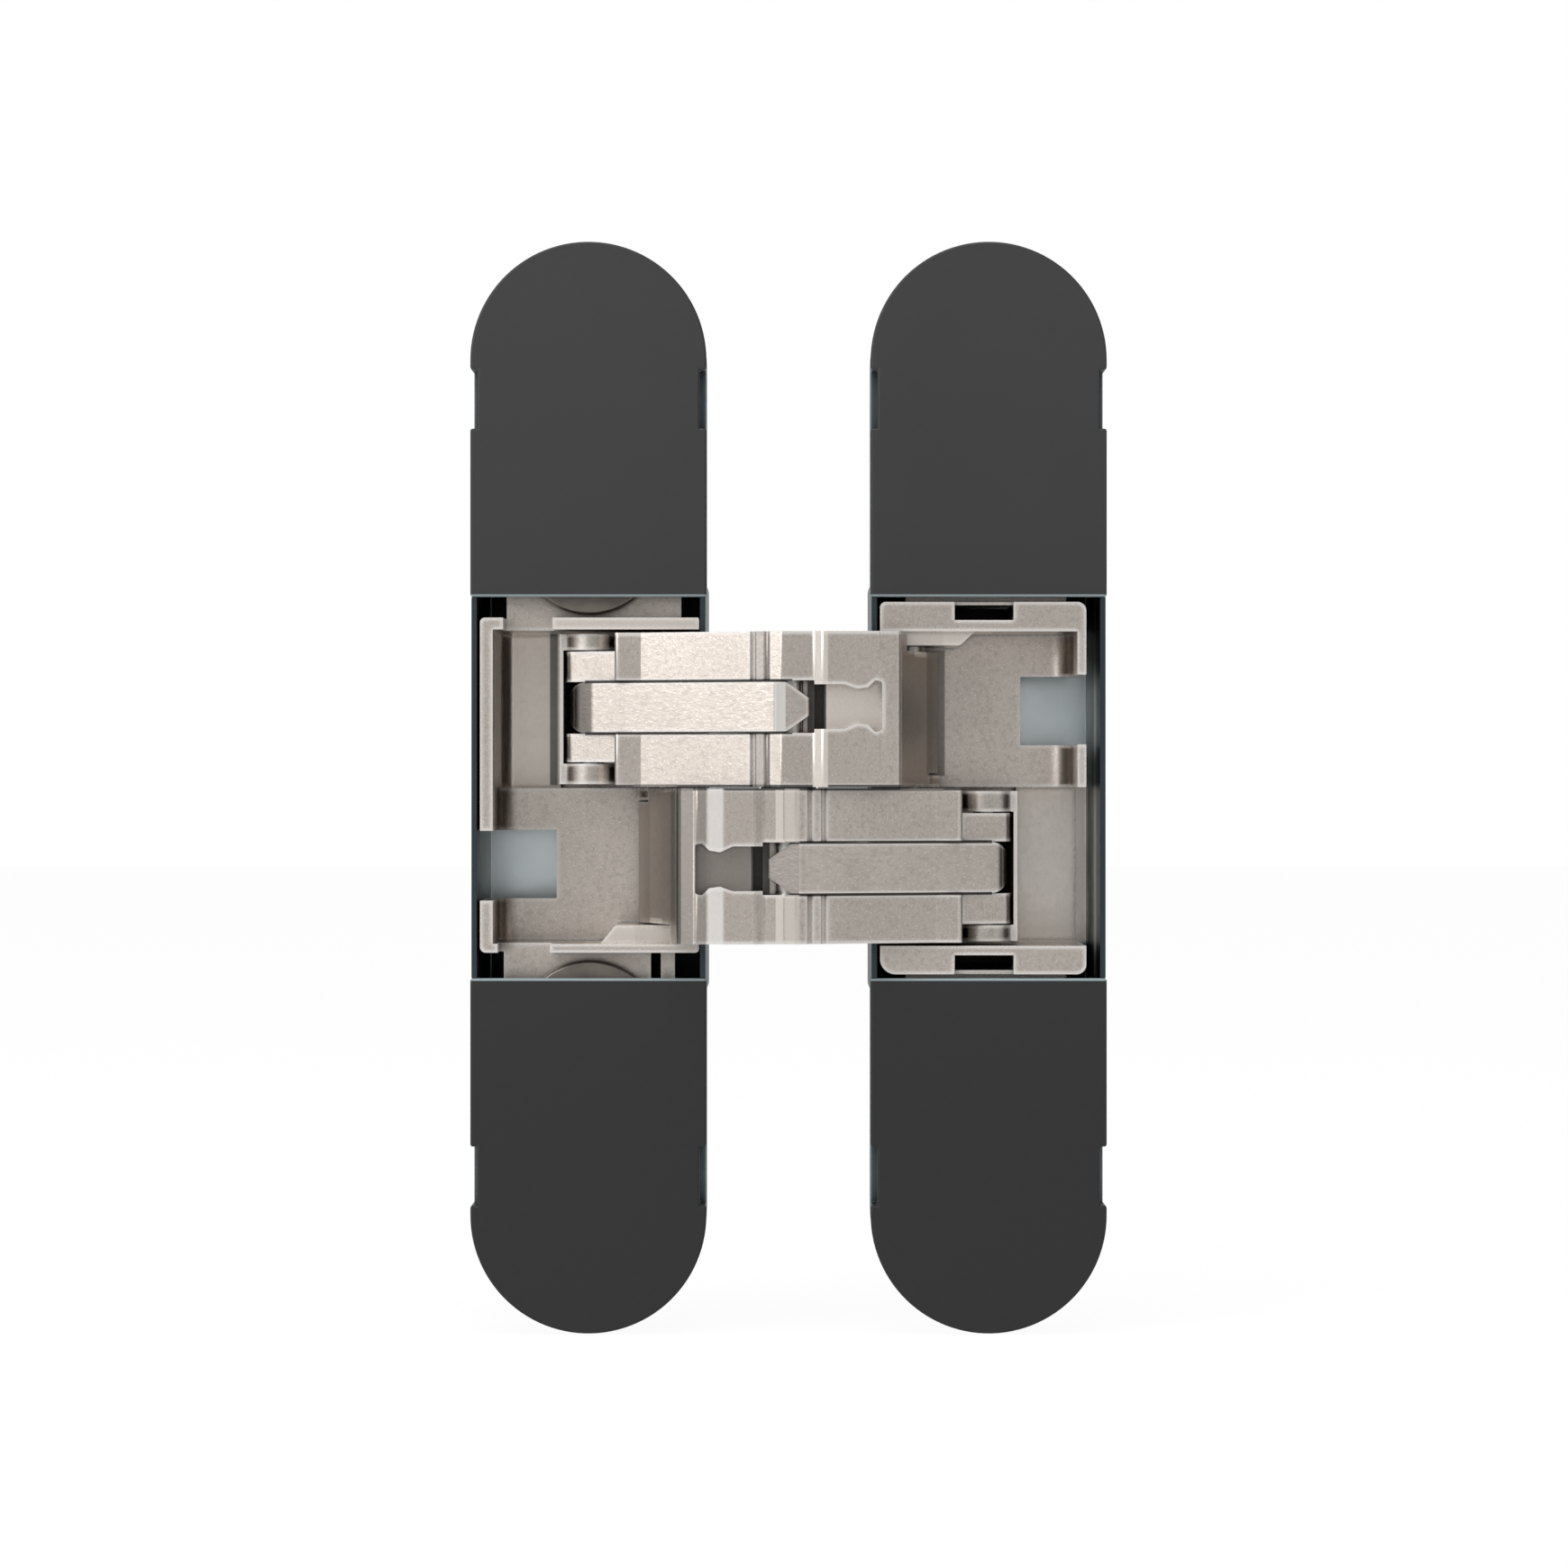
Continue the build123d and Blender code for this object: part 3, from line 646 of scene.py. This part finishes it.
@dataclass(frozen=True)
class DarkZinc:
    """Blue-grey passivated zinc of the cases, with painted shade that makes it black in the gaps
    and pale painted light on the box's floor.

    Attributes:
        name: Name of the material.
        tone: Main reflecting colour.
        pale: Colour of its edges, of the painted light on the floor of the box and of the painted
            glint.
        rim: Colour near the face.
        dark: Colour of the painted shade in hollows and in the corners of the box.
        rough: Roughness.
        metal: Share of metal.
        depth: Depth of the fine grain.
        cloud: Fineness of the broad clouds.
        fine: Fineness of the fine grain.
        cloud_tone: Rise of the dimmed tone over the clouds.
        cloud_dim: Brightness of the dimmed tone against the main one.
        edge_width: Reach of the pale edge.
        edge_share: How much of the pale tone shows on edges.
        hollow_reach: How far away surfaces make a hollow.
        hollow_tone: Rise of the painted shade in hollows.
        behind_face: Depths between which the rim's colour fades.
        side_wall: Distances from the half's middle where the box's side walls start.
        end_wall: Heights where the box's end walls start.
        floor_front: Depths where the floor of the box starts.
        floor_back: Depths where the outer back starts.
        corner: Heights where the corners of the box start.
        ledge: Pale painted light on the ledge in the door half.
        streak: Glint on the door half's side wall.
        glint_matte_share: How far the glint loses its metal shine.
        sheen: How the roughness varies.
        floor_gloss: How much smoother the floor of the box is.
    """

    name: str = "case_zinc"
    tone: Triple = linear(112, 122, 126)
    pale: Triple = linear(230, 239, 241)
    rim: Triple = linear(62, 72, 78)
    dark: Triple = linear(18, 20, 23)
    rough: float = 0.36
    metal: float = 0.85
    depth: float = 0.015
    cloud: Grain = Grain(0.22, 4.0)
    fine: Grain = Grain(3.0, 3.0)
    cloud_tone: Rise = Rise(0.35, 0.7, 0.3)
    cloud_dim: float = 0.8
    edge_width: float = 0.3
    edge_share: float = 0.4
    hollow_reach: float = 3.0
    hollow_tone: Rise = Rise(0.3, 0.8, 0.8)
    behind_face: Rise = Rise(-11.0, -5.0)
    side_wall: Rise = Rise(11.2, 11.4)
    end_wall: Rise = Rise(21.1, 21.3)
    floor_front: Rise = Rise(12.0, 12.6)
    floor_back: Rise = Rise(13.1, 13.3)
    corner: Rise = Rise(16.4, 16.7)
    # Pale painted light on the door half's ledge.
    ledge: Patch = Patch("ledge", (49.2, 9.0, -16.3), (52.0, 13.4, -0.1), PAINTED_PALE_LIGHT, 1.0)
    # Painted glint on the door half's side wall.
    streak: Patch = Patch("glint", (51.7, -5.0, -19.4), (52.2, -1.0, 19.4), pale, 0.5, 0.2)
    glint_matte_share: float = 0.5
    sheen: Sheen = Sheen(0.1, 0.15)
    floor_gloss: float = 0.14

    def material(self) -> bpy.types.Material:
        """Build the material.

        Returns:
            The material.
        """
        material, graph = new_graph(self.name)
        at = graph.place()
        cloud = graph.noise(at, self.cloud)
        fine = graph.noise(at, self.fine)
        edge = graph.edge(self.edge_width)
        hollow = graph.crowding(self.hollow_reach)
        across, back, up = graph.parts(at)
        beside = ((across - HALF_PITCH).absolute() - HALF_PITCH).absolute()
        level = up.absolute()
        inside = (1.0 - self.side_wall.over(beside)) * (1.0 - self.end_wall.over(level))
        before_back = 1.0 - self.floor_back.over(back)
        # The box's floor gets pale painted light, and its corners get painted shade.
        floor = inside * self.floor_front.over(back) * before_back
        corner = inside * self.corner.over(level) * before_back
        ledge = self.ledge.mask(graph, at)
        streak = self.streak.mask(graph, at)
        dimmer = dimmed(self.tone, self.cloud_dim)
        tone = graph.mix(self.cloud_tone.over(cloud), self.tone, dimmer)
        tone = graph.mix(edge * self.edge_share, tone, self.pale)
        tone = graph.mix(1.0 - self.behind_face.over(back), tone, self.rim)
        # Painted shade in hollows, pale painted light on the box's floor and painted shade in its
        # corners.
        tone = graph.mix(self.hollow_tone.over(hollow), tone, self.dark)
        tone = graph.mix(floor, tone, self.pale)
        tone = graph.mix(corner, tone, self.dark)
        # Pale painted light on the door half's ledge.
        tone = graph.mix(ledge, tone, self.ledge.tone)
        # Painted glint on the door half's side wall.
        tone = graph.mix(streak * self.streak.share, tone, self.streak.tone)
        rough = self.sheen.over(self.rough, fine, cloud) - self.floor_gloss * floor
        graph.surface(
            {
                "Base Color": tone,
                "Metallic": self.metal - self.glint_matte_share * streak,
                "Roughness": rough.clamp(),
                "Normal": graph.bump(fine * (1.0 - floor), self.depth),
            }
        )
        return material


@dataclass(frozen=True)
class TurnedMetal:
    """Turned or sintered metal of pins, discs and screws, with a fine grain and painted shade in
    hollows.

    Attributes:
        name: Name of the material.
        tone: Main reflecting colour.
        dull: Colour of its darker patches.
        rough: Roughness.
        metal: Share of metal.
        depth: Depth of the surface's grain.
        worn: Colour of the edges.
        grain: Fineness of the grain, drawn out along x and y.
        cloud: Fineness of the broad clouds.
        cloud_tone: Rise of the dull tone over the clouds.
        hollow_reach: How far away surfaces make a hollow.
        hollow_tone: Rise of the painted shade in hollows.
        hollow_dim: Brightness of the painted shade against the dull tone.
        edge_width: Reach of the worn edge.
        edge_share: How much of the worn tone shows on edges.
        sheen: How the roughness varies.
    """

    name: str
    tone: Triple
    dull: Triple
    rough: float = 0.25
    metal: float = 1.0
    depth: float = 0.006
    worn: Triple = (0.85, 0.84, 0.82)
    grain: Grain = Grain(3.5, 2.0, (0.2, 0.2, 1.0))
    cloud: Grain = Grain(0.3, 3.0)
    cloud_tone: Rise = Rise(0.35, 0.7, 0.5)
    hollow_reach: float = 2.0
    hollow_tone: Rise = Rise(0.3, 1.0, 0.5)
    hollow_dim: float = 0.4
    edge_width: float = 0.25
    edge_share: float = 0.35
    sheen: Sheen = Sheen(0.15, 0.08)

    def material(self) -> bpy.types.Material:
        """Build the material.

        Returns:
            The material.
        """
        material, graph = new_graph(self.name)
        at = graph.place()
        grain = graph.noise(at, self.grain)
        cloud = graph.noise(at, self.cloud)
        edge = graph.edge(self.edge_width)
        hollow = graph.crowding(self.hollow_reach)
        tone = graph.mix(self.cloud_tone.over(cloud), self.tone, self.dull)
        # Painted shade in hollows.
        tone = graph.mix(
            self.hollow_tone.over(hollow), tone, dimmed(self.dull, self.hollow_dim)
        )
        tone = graph.mix(edge * self.edge_share, tone, self.worn)
        graph.surface(
            {
                "Base Color": tone,
                "Metallic": self.metal,
                "Roughness": self.sheen.over(self.rough, grain, cloud).clamp(),
                "Normal": graph.bump(grain, self.depth),
            }
        )
        return material


class Finish(Enum):
    """Every finish on the hinge, by the name of its slot in the record."""

    NICKEL = "nickel"
    LEAF = "leaf_steel"
    PIN = "pin_steel"
    LINK = "link_steel"
    CASE = "case_zinc"
    DISC = "disc_brown"
    COVER = "cover_charcoal"
    SCREW = "screw_zinc"


def leaf_seams(heights: tuple[float, float], half_width: float) -> tuple[Patch, ...]:
    """Lines of painted shade between each arm's leaf and its ears.

    Args:
        heights: Heights of the upper arm's two lines.
        half_width: Half the width of a line.

    Returns:
        The lines of the upper arm and then those of the lower one.
    """
    upper = tuple(
        Patch(
            "seam between leaf and ear",
            (-0.4, -19.0, height - half_width),
            (20.7, -8.0, height + half_width),
            PAINTED_BLACK_SHADE,
            0.95,
            0.06,
        )
        for height in heights
    )
    return upper + tuple(seam.turned() for seam in upper)


# Painted shade in the leaf seams, in the recess at each leaf's tip and on the front of each root
# lug, and pale painted light on each carriage's low block.
SEAMS = leaf_seams((5.52, 10.78), 0.12)
TIP_RECESS = Patch("recess at the leaf's tip", (22.3, -15.9, 5.4), (24.1, -13.3, 10.9), PAINTED_BLACK_SHADE)
ROOT_FRONT = Patch(
    "front of the root lug", (31.75, -17.2, -0.3), (36.0, -6.0, 15.9), SHADOW, 0.65, 0.15
)
LOW_BLOCK = Patch(
    "block of the carriage", (-0.5, -12.3, -16.0), (8.6, -1.0, -13.4), PAINTED_PALE_LIGHT, 0.7, 0.2
)
# Painted light and shade on the cast nickel: painted shade in the gap between the arms, in
# recesses, in seams and beside the root lugs; painted shadows and pale painted light on the arms'
# facets and pockets, on the top plate and on the recess backs; and a painted highlight on the
# lower arm.
NICKEL_PATCHES = (
    Patch("backs of the recesses", (-20.0, 4.0, -17.0), (60.0, 8.6, 17.0), PAINTED_PALE_LIGHT, 0.9, 3.0),
    Patch("top plate", (-4.9, -12.6, 15.5), (11.5, -9.5, 19.0), PAINTED_PALE_LIGHT, 0.6, 0.3),
    Patch("gap between the arms", (-20.0, -19.0, -0.25), (60.0, -12.2, 0.25), PAINTED_BLACK_SHADE),
    Patch("frame side wall", (-9.9, -8.0, -15.9), (-8.9, 1.0, -0.2), PAINTED_BLACK_SHADE, 0.6, 1.5),
    Patch("lower arm's root line", (8.5, -18.8, -15.9), (9.5, -12.0, 0.0), PAINTED_NEAR_BLACK_SHADE, 0.95),
    Patch("lower arm's first facet", (9.6, -18.8, -15.9), (10.7, -15.0, 0.0), SHADOW, 0.85),
    Patch("lower arm's next facet", (10.9, -19.0, -15.9), (12.0, -15.0, -0.3), SHADOW, 0.6),
    Patch("lower arm's glint", (12.4, -19.0, -15.9), (13.6, -17.0, -0.3), PAINTED_HIGHLIGHT, 1.0, 0.4),
    Patch("upper arm's dark facet", (16.8, -19.0, 0.1), (18.3, -12.0, 16.0), SHADOW, 0.6),
    Patch("upper arm's pale facet", (22.9, -19.0, 0.1), (24.2, -16.0, 16.0), PAINTED_PALE_LIGHT, 0.9, 0.2),
    Patch("upper arm's pocket", (24.2, -16.2, 5.6), (29.9, -15.2, 10.9), PAINTED_PALE_LIGHT, 0.7),
    Patch("lower arm's pocket", (10.8, -16.2, -10.9), (16.5, -15.2, -5.6), SHADOW, 0.85),
    Patch("frame recess edge", (-4.75, 5.0, 0.3), (-4.05, 9.0, 16.3), PAINTED_BLACK_SHADE, 0.75, 0.12),
    Patch("door recess edge", (43.45, -1.0, -16.1), (44.35, 0.6, -0.2), PAINTED_BLACK_SHADE, 0.8),
    *SEAMS,
    TIP_RECESS,
    TIP_RECESS.turned(),
    ROOT_FRONT,
    ROOT_FRONT.turned(),
    LOW_BLOCK,
    LOW_BLOCK.turned(),
    Patch("frame root lug's side", (4.85, -8.0, -14.2), (6.2, 9.0, -1.3), SHADOW),
    Patch("door root lug's side", (34.5, -8.0, 1.3), (36.5, 9.0, 14.2), DEEP_SHADOW, 0.85, 0.2),
    Patch("lower arm's pale facet", (19.1, -19.0, -16.0), (19.75, -15.0, -0.3), PAINTED_PALE_LIGHT),
    Patch("lower arm's far facet", (20.1, -19.0, -16.0), (21.3, -15.0, -0.3), PAINTED_PALE_LIGHT, 0.6, 0.3),
)
# Painted light and shade on the leaves: painted shade in the tip recesses, in the seams, at the
# upper leaf's far end and on the lower leaf's nose, and a painted highlight near the upper leaf's
# tip.
LEAF_PATCHES = (
    TIP_RECESS,
    TIP_RECESS.turned(),
    Patch("upper leaf's far end", (-2.6, -14.0, 5.4), (0.1, -3.0, 10.9), DEEP_SHADOW, 0.93, 0.45),
    Patch("upper leaf's glint", (19.0, -19.0, 5.4), (20.0, -16.2, 10.9), PAINTED_HIGHLIGHT, 1.0),
    Patch("lower leaf's nose", (17.5, -18.5, -11.0), (21.3, -16.0, -5.0), SHADOW, 0.9, 0.2),
    *SEAMS,
)
Recipe = Union[SatinMetal, CoverPlastic, DarkZinc, TurnedMetal]
RECIPES: dict[Finish, Recipe] = {
    Finish.NICKEL: SatinMetal(
        "cast_nickel", (0.64, 0.575, 0.52), (0.45, 0.405, 0.365), patches=NICKEL_PATCHES
    ),
    Finish.LEAF: SatinMetal(
        "ground_leaf_steel",
        (0.66, 0.595, 0.54),
        (0.48, 0.43, 0.39),
        rough=0.33,
        streak=(0.35, 1.0, 1.0),
        patches=LEAF_PATCHES,
    ),
    Finish.PIN: TurnedMetal("pin_steel", (0.62, 0.61, 0.59), (0.42, 0.41, 0.4)),
    Finish.LINK: SatinMetal(
        "pressed_link_steel", (0.6, 0.55, 0.5), (0.4, 0.37, 0.34), rough=0.3, depth=0.012
    ),
    Finish.CASE: DarkZinc(),
    Finish.DISC: TurnedMetal(
        "disc_brown", linear(144, 136, 128), linear(98, 93, 88), 0.42, 0.8, 0.012
    ),
    Finish.COVER: CoverPlastic(),
    Finish.SCREW: TurnedMetal("screw_zinc", (0.5, 0.51, 0.52), (0.33, 0.34, 0.35), 0.3),
}


@dataclass(frozen=True)
class Rounding:
    """Rounding of a piece's sharp edges, as casting and tumbling leave them.

    Attributes:
        weld: Vertices nearer than this many metres are one.
        flat_angle: Faces that meet at less than this many degrees count as one.
        sharp_angle: Edges sharper than this many degrees are rounded.
        segments: Steps across the rounding.
    """

    weld: float = 1e-6
    flat_angle: float = 0.6
    sharp_angle: float = 17.0
    segments: int = 2

    def apply(self, piece: bpy.types.Object, width: float) -> None:
        """Round a piece with modifiers, so that it keeps its own mesh.

        Args:
            piece: The piece.
            width: Width of the rounding.
        """
        for polygon in piece.data.polygons:
            polygon.use_smooth = True
        weld = piece.modifiers.new("join", "WELD")
        weld.merge_threshold = self.weld
        flat = piece.modifiers.new("flat", "DECIMATE")
        flat.decimate_type = "DISSOLVE"
        flat.angle_limit = math.radians(self.flat_angle)
        bevel = piece.modifiers.new("round", "BEVEL")
        bevel.width = width * MM
        bevel.segments = self.segments
        bevel.limit_method = "ANGLE"
        bevel.angle_limit = math.radians(self.sharp_angle)
        bevel.harden_normals = False
        normals = piece.modifiers.new("normals", "WEIGHTED_NORMAL")
        normals.keep_sharp = False


class Finishes:
    """The material of each finish, made once."""

    def __init__(self) -> None:
        """Make all the materials."""
        self.made = {finish: recipe.material() for finish, recipe in RECIPES.items()}
        self.rounding = Rounding()

    def dress(self, piece: bpy.types.Object, finish: Finish) -> None:
        """Give a piece one finish all over.

        Args:
            piece: The piece.
            finish: Its finish.
        """
        piece.data.materials.clear()
        piece.data.materials.append(self.made[finish])
        LOG.info("%s dressed in %s", piece.name, finish.value)

    def treat(self, piece: bpy.types.Object, finish: Finish, width: float) -> None:
        """Round a piece's edges and give it one finish all over.

        Args:
            piece: The piece.
            finish: Its finish.
            width: Width of the rounding.
        """
        self.rounding.apply(piece, width)
        self.dress(piece, finish)


@dataclass
class HingeHalf:
    """A case with its covers, carriage, adjusters, screws and pins.

    Attributes:
        side: Which half it is.
        case_round: Rounding of the case.
        carriage_round: Rounding of the carriage.
        cover_round: Rounding of the covers.
        adjuster_round: Rounding of the discs or cams.
        clamp_round: Rounding of the clamp screws and their washers.
        pin_round: Rounding of the pins.
    """

    side: Side
    case_round: float = 0.25
    carriage_round: float = 0.28
    cover_round: float = 0.22
    adjuster_round: float = 0.15
    clamp_round: float = 0.12
    pin_round: float = 0.1

    def build(self, nodes: Mapping[str, bpy.types.Object], finishes: Finishes) -> None:
        """Round and dress the half's solids.

        Args:
            nodes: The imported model's objects.
            finishes: The finishes.
        """
        word = self.side.value
        adjuster = "disc" if self.side is Side.FRAME else "cam"
        finishes.treat(nodes[f"{word}_case"], Finish.CASE, self.case_round)
        finishes.treat(nodes[f"{word}_carriage"], Finish.NICKEL, self.carriage_round)
        for way in Way:
            name = f"{word}_{way.value}"
            finishes.treat(nodes[f"{name}_cover"], Finish.COVER, self.cover_round)
            finishes.treat(nodes[f"{name}_{adjuster}"], Finish.DISC, self.adjuster_round)
        for kind in ("clamp_screws", "clamp_washers"):
            finishes.treat(nodes[f"{word}_{kind}"], Finish.SCREW, self.clamp_round)
        for kind in ("root_pin", "link_pin"):
            finishes.treat(nodes[f"{word}_{kind}"], Finish.PIN, self.pin_round)


@dataclass
class GapShadePads:
    """Thin pads between the two crossing arms, one on each side of the centre washer, that the
    painted shade of the gap between the arms turns near black.

    Attributes:
        spans: Least and greatest x of each pad.
        depths: Front and back y of the pads.
        half_thick: Half their thickness.
    """

    spans: tuple[tuple[float, float], ...] = ((11.2, 17.4), (23.3, 29.5))
    depths: tuple[float, float] = (-14.7, -13.1)
    half_thick: float = 0.045

    def build(self, finishes: Finishes) -> bpy.types.Object:
        """Build and dress the pads.

        Args:
            finishes: The finishes.

        Returns:
            The pads, as one piece that rides with the lower arm.
        """
        front, back = self.depths
        shape = bmesh.new()
        for low, high in self.spans:
            size = Vector((high - low, back - front, 2 * self.half_thick)) * MM
            middle = Vector(((low + high) / 2, (front + back) / 2, 0.0)) * MM
            for corner in bmesh.ops.create_cube(shape, size=1.0)["verts"]:
                corner.co = middle + Vector(a * b for a, b in zip(corner.co, size))
        mesh = bpy.data.meshes.new("arm_gap_shade_pads")
        shape.to_mesh(mesh)
        shape.free()
        piece = bpy.data.objects.new("arm_gap_shade_pads", mesh)
        bpy.context.scene.collection.objects.link(piece)
        # The nickel's painted shade for the gap between the arms turns the pads near black.
        finishes.dress(piece, Finish.NICKEL)
        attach(piece, "lower_arm")
        return piece


@dataclass
class Linkage:
    """The crossing arms with their leaves, links, pins and washer, and the pads of painted shade
    between the arms.

    Attributes:
        arm_round: Rounding of the arms and of their leaves.
        arm_pin_round: Rounding of the pins in the arms' far ends.
        link_round: Rounding of the yoke links.
        centre_round: Rounding of the centre pin and its washer.
    """

    arm_round: float = 0.35
    arm_pin_round: float = 0.1
    link_round: float = 0.15
    centre_round: float = 0.08

    def build(self, nodes: Mapping[str, bpy.types.Object], finishes: Finishes) -> None:
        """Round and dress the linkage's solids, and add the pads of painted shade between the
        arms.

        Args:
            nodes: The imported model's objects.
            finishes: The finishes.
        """
        for way in (Way.LOWER, Way.UPPER):
            word = way.value
            finishes.treat(nodes[f"{word}_arm"], Finish.NICKEL, self.arm_round)
            finishes.treat(nodes[f"{word}_leaf"], Finish.LEAF, self.arm_round)
            finishes.treat(nodes[f"{word}_arm_pin"], Finish.PIN, self.arm_pin_round)
        for side in Side:
            finishes.treat(nodes[f"{side.value}_link"], Finish.LINK, self.link_round)
        finishes.treat(nodes["centre_pin"], Finish.PIN, self.centre_round)
        finishes.treat(nodes["centre_washer"], Finish.NICKEL, self.centre_round)
        # Pads of painted shade that fill the gap between the arms.
        GapShadePads().build(finishes)


@dataclass(frozen=True)
class Lamp:
    """Soft lamp that looks at the hinge.

    Attributes:
        name: Name of the lamp.
        power: Power in watts.
        place: Where it stands, in metres.
        size: Width of its square face in metres.
    """

    name: str
    power: float
    place: Triple
    size: float

    def build(self) -> None:
        """Add the lamp to the scene."""
        data = bpy.data.lights.new(self.name, "AREA")
        data.energy = self.power
        data.size = self.size
        lamp = bpy.data.objects.new(self.name, data)
        lamp.location = self.place
        aim = Vector((HALF_PITCH * MM, FACE_Y * MM, 0.0)) - Vector(self.place)
        lamp.rotation_euler = aim.to_track_quat("-Z", "Y").to_euler()
        bpy.context.scene.collection.objects.link(lamp)


@dataclass
class Studio:
    """Pale floor, white surroundings and plain soft lamps.

    Attributes:
        floor_height: Height of the floor.
        floor_reach: Half the floor's width in metres.
        floor_tone: Colour of the floor where light falls on it.
        glow: Strength of the white that the camera sees instead.
        camera_white: Share of that white to the camera, the rest being shadow.
        mirror_white: Share of that white in reflections.
        dim: Least light of the surroundings.
        front_light: Light from the front.
        left: Rise of the front light towards the left.
        front: Rise of the light towards the front.
        above: Rise of the light towards the top.
        behind: Rise of the light straight behind.
        lamps: The lamps.
    """

    floor_height: float = -55.6
    floor_reach: float = 3.0
    floor_tone: Triple = (0.7, 0.7, 0.7)
    glow: float = 1.08
    camera_white: float = 0.88
    mirror_white: float = 0.3
    dim: float = 0.04
    front_light: float = 0.32
    left: Rise = Rise(-0.9, 0.7, 0.16)
    front: Rise = Rise(-0.35, 0.55)
    above: Rise = Rise(-0.5, 0.9, 0.16)
    behind: Rise = Rise(0.9, 0.97, 0.7)
    lamps: tuple[Lamp, ...] = (
        Lamp("key", 2.85, (-0.54, -0.68, 0.34), 0.5),
        Lamp("top", 2.0, (0.0, -0.25, 0.8), 0.5),
        Lamp("fill", 0.12, (0.7, -0.6, 0.1), 0.4),
    )

    def build(self) -> None:
        """Make the floor, the surroundings and the lamps."""
        self._floor()
        self._world()
        for lamp in self.lamps:
            lamp.build()

    def _floor(self) -> None:
        """Make the pale floor, white to the camera except for part of its shadow."""
        mesh = bpy.data.meshes.new("floor")
        height = self.floor_height * MM
        signs = ((-1, -1), (1, -1), (1, 1), (-1, 1))
        corners = [(x * self.floor_reach, y * self.floor_reach, height) for x, y in signs]
        mesh.from_pydata(corners, [], [(0, 1, 2, 3)])
        floor = bpy.data.objects.new("floor", mesh)
        bpy.context.scene.collection.objects.link(floor)
        material, graph = new_graph("pale_floor")
        rays = graph.node("ShaderNodeLightPath", {}, {})
        camera = Sock(graph, rays.outputs["Is Camera Ray"])
        glossy = Sock(graph, rays.outputs["Is Glossy Ray"])
        pale = graph.node("ShaderNodeBsdfDiffuse", {}, {"Color": self.floor_tone})
        white = graph.node(
            "ShaderNodeEmission", {}, {"Color": WHITE, "Strength": self.glow}
        )
        share = (camera * self.camera_white + glossy * self.mirror_white).clamp()
        shaders = {1: Sock(graph, pale.outputs[0]), 2: Sock(graph, white.outputs[0])}
        both = graph.node("ShaderNodeMixShader", {}, {0: share, **shaders})
        graph.node("ShaderNodeOutputMaterial", {}, {"Surface": Sock(graph, both.outputs[0])})
        mesh.materials.append(material)

    def _world(self) -> None:
        """Make the surroundings: white behind, paler at the left and front, dim at the right."""
        world = bpy.data.worlds.new("studio")
        bpy.context.scene.world = world
        world.use_nodes = True
        graph = Graph(world.node_tree)
        rays = graph.node("ShaderNodeLightPath", {}, {})
        camera = Sock(graph, rays.outputs["Is Camera Ray"])
        towards = graph.node("ShaderNodeTexCoord", {}, {})
        x, y, z = graph.parts(Sock(graph, towards.outputs["Generated"]))
        front = self.front.over(0.0 - y) * (self.front_light + self.left.over(0.0 - x))
        level = self.dim + front + self.above.over(z) + self.behind.over(y)
        shown = camera + (1.0 - camera) * level
        lit = graph.node("ShaderNodeBackground", {}, {"Color": WHITE, "Strength": shown})
        graph.node("ShaderNodeOutputWorld", {}, {"Surface": Sock(graph, lit.outputs[0])})


@dataclass
class PhotoCamera:
    """Camera that sees the hinge as the photograph does: straight on, from far away.

    Attributes:
        frame_pixels: Width of the photograph in pixels.
        pixels_per_mm: Pixels for one millimetre of the hinge's face.
        lens: Focal length.
        sensor: Width of the sensor.
        aim_x: Place across that the middle of the picture shows.
        aim_z: Height that the middle of the picture shows.
        near: Nearest distance shown, in metres.
        far: Farthest distance shown, in metres.
    """

    frame_pixels: float = 1740.0
    pixels_per_mm: float = 10.92
    lens: float = 120.0
    sensor: float = 36.0
    aim_x: float = 19.89
    aim_z: float = 0.37
    near: float = 0.01
    far: float = 20.0

    def build(self) -> None:
        """Make the camera and set it as the scene's."""
        data = bpy.data.cameras.new("photo_camera")
        data.lens = self.lens
        data.sensor_width = self.sensor
        data.clip_start = self.near
        data.clip_end = self.far
        camera = bpy.data.objects.new("photo_camera", data)
        frame_width = self.frame_pixels / self.pixels_per_mm
        distance = frame_width * self.lens / self.sensor
        camera.location = (self.aim_x * MM, (FACE_Y - distance) * MM, self.aim_z * MM)
        camera.rotation_euler = (math.pi / 2, 0.0, 0.0)
        bpy.context.scene.collection.objects.link(camera)
        bpy.context.scene.camera = camera


def main() -> None:
    logging.basicConfig(level=logging.INFO, format="%(name)s: %(message)s")
    for thing in list(bpy.data.objects):
        bpy.data.objects.remove(thing)
    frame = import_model()
    nodes = frame["nodes"]
    bpy.context.scene.view_settings.view_transform = "Standard"
    PhotoCamera().build()
    Studio().build()
    finishes = Finishes()
    for side in Side:
        HingeHalf(side).build(nodes, finishes)
    Linkage().build(nodes, finishes)


if __name__ == "__main__":
    main()
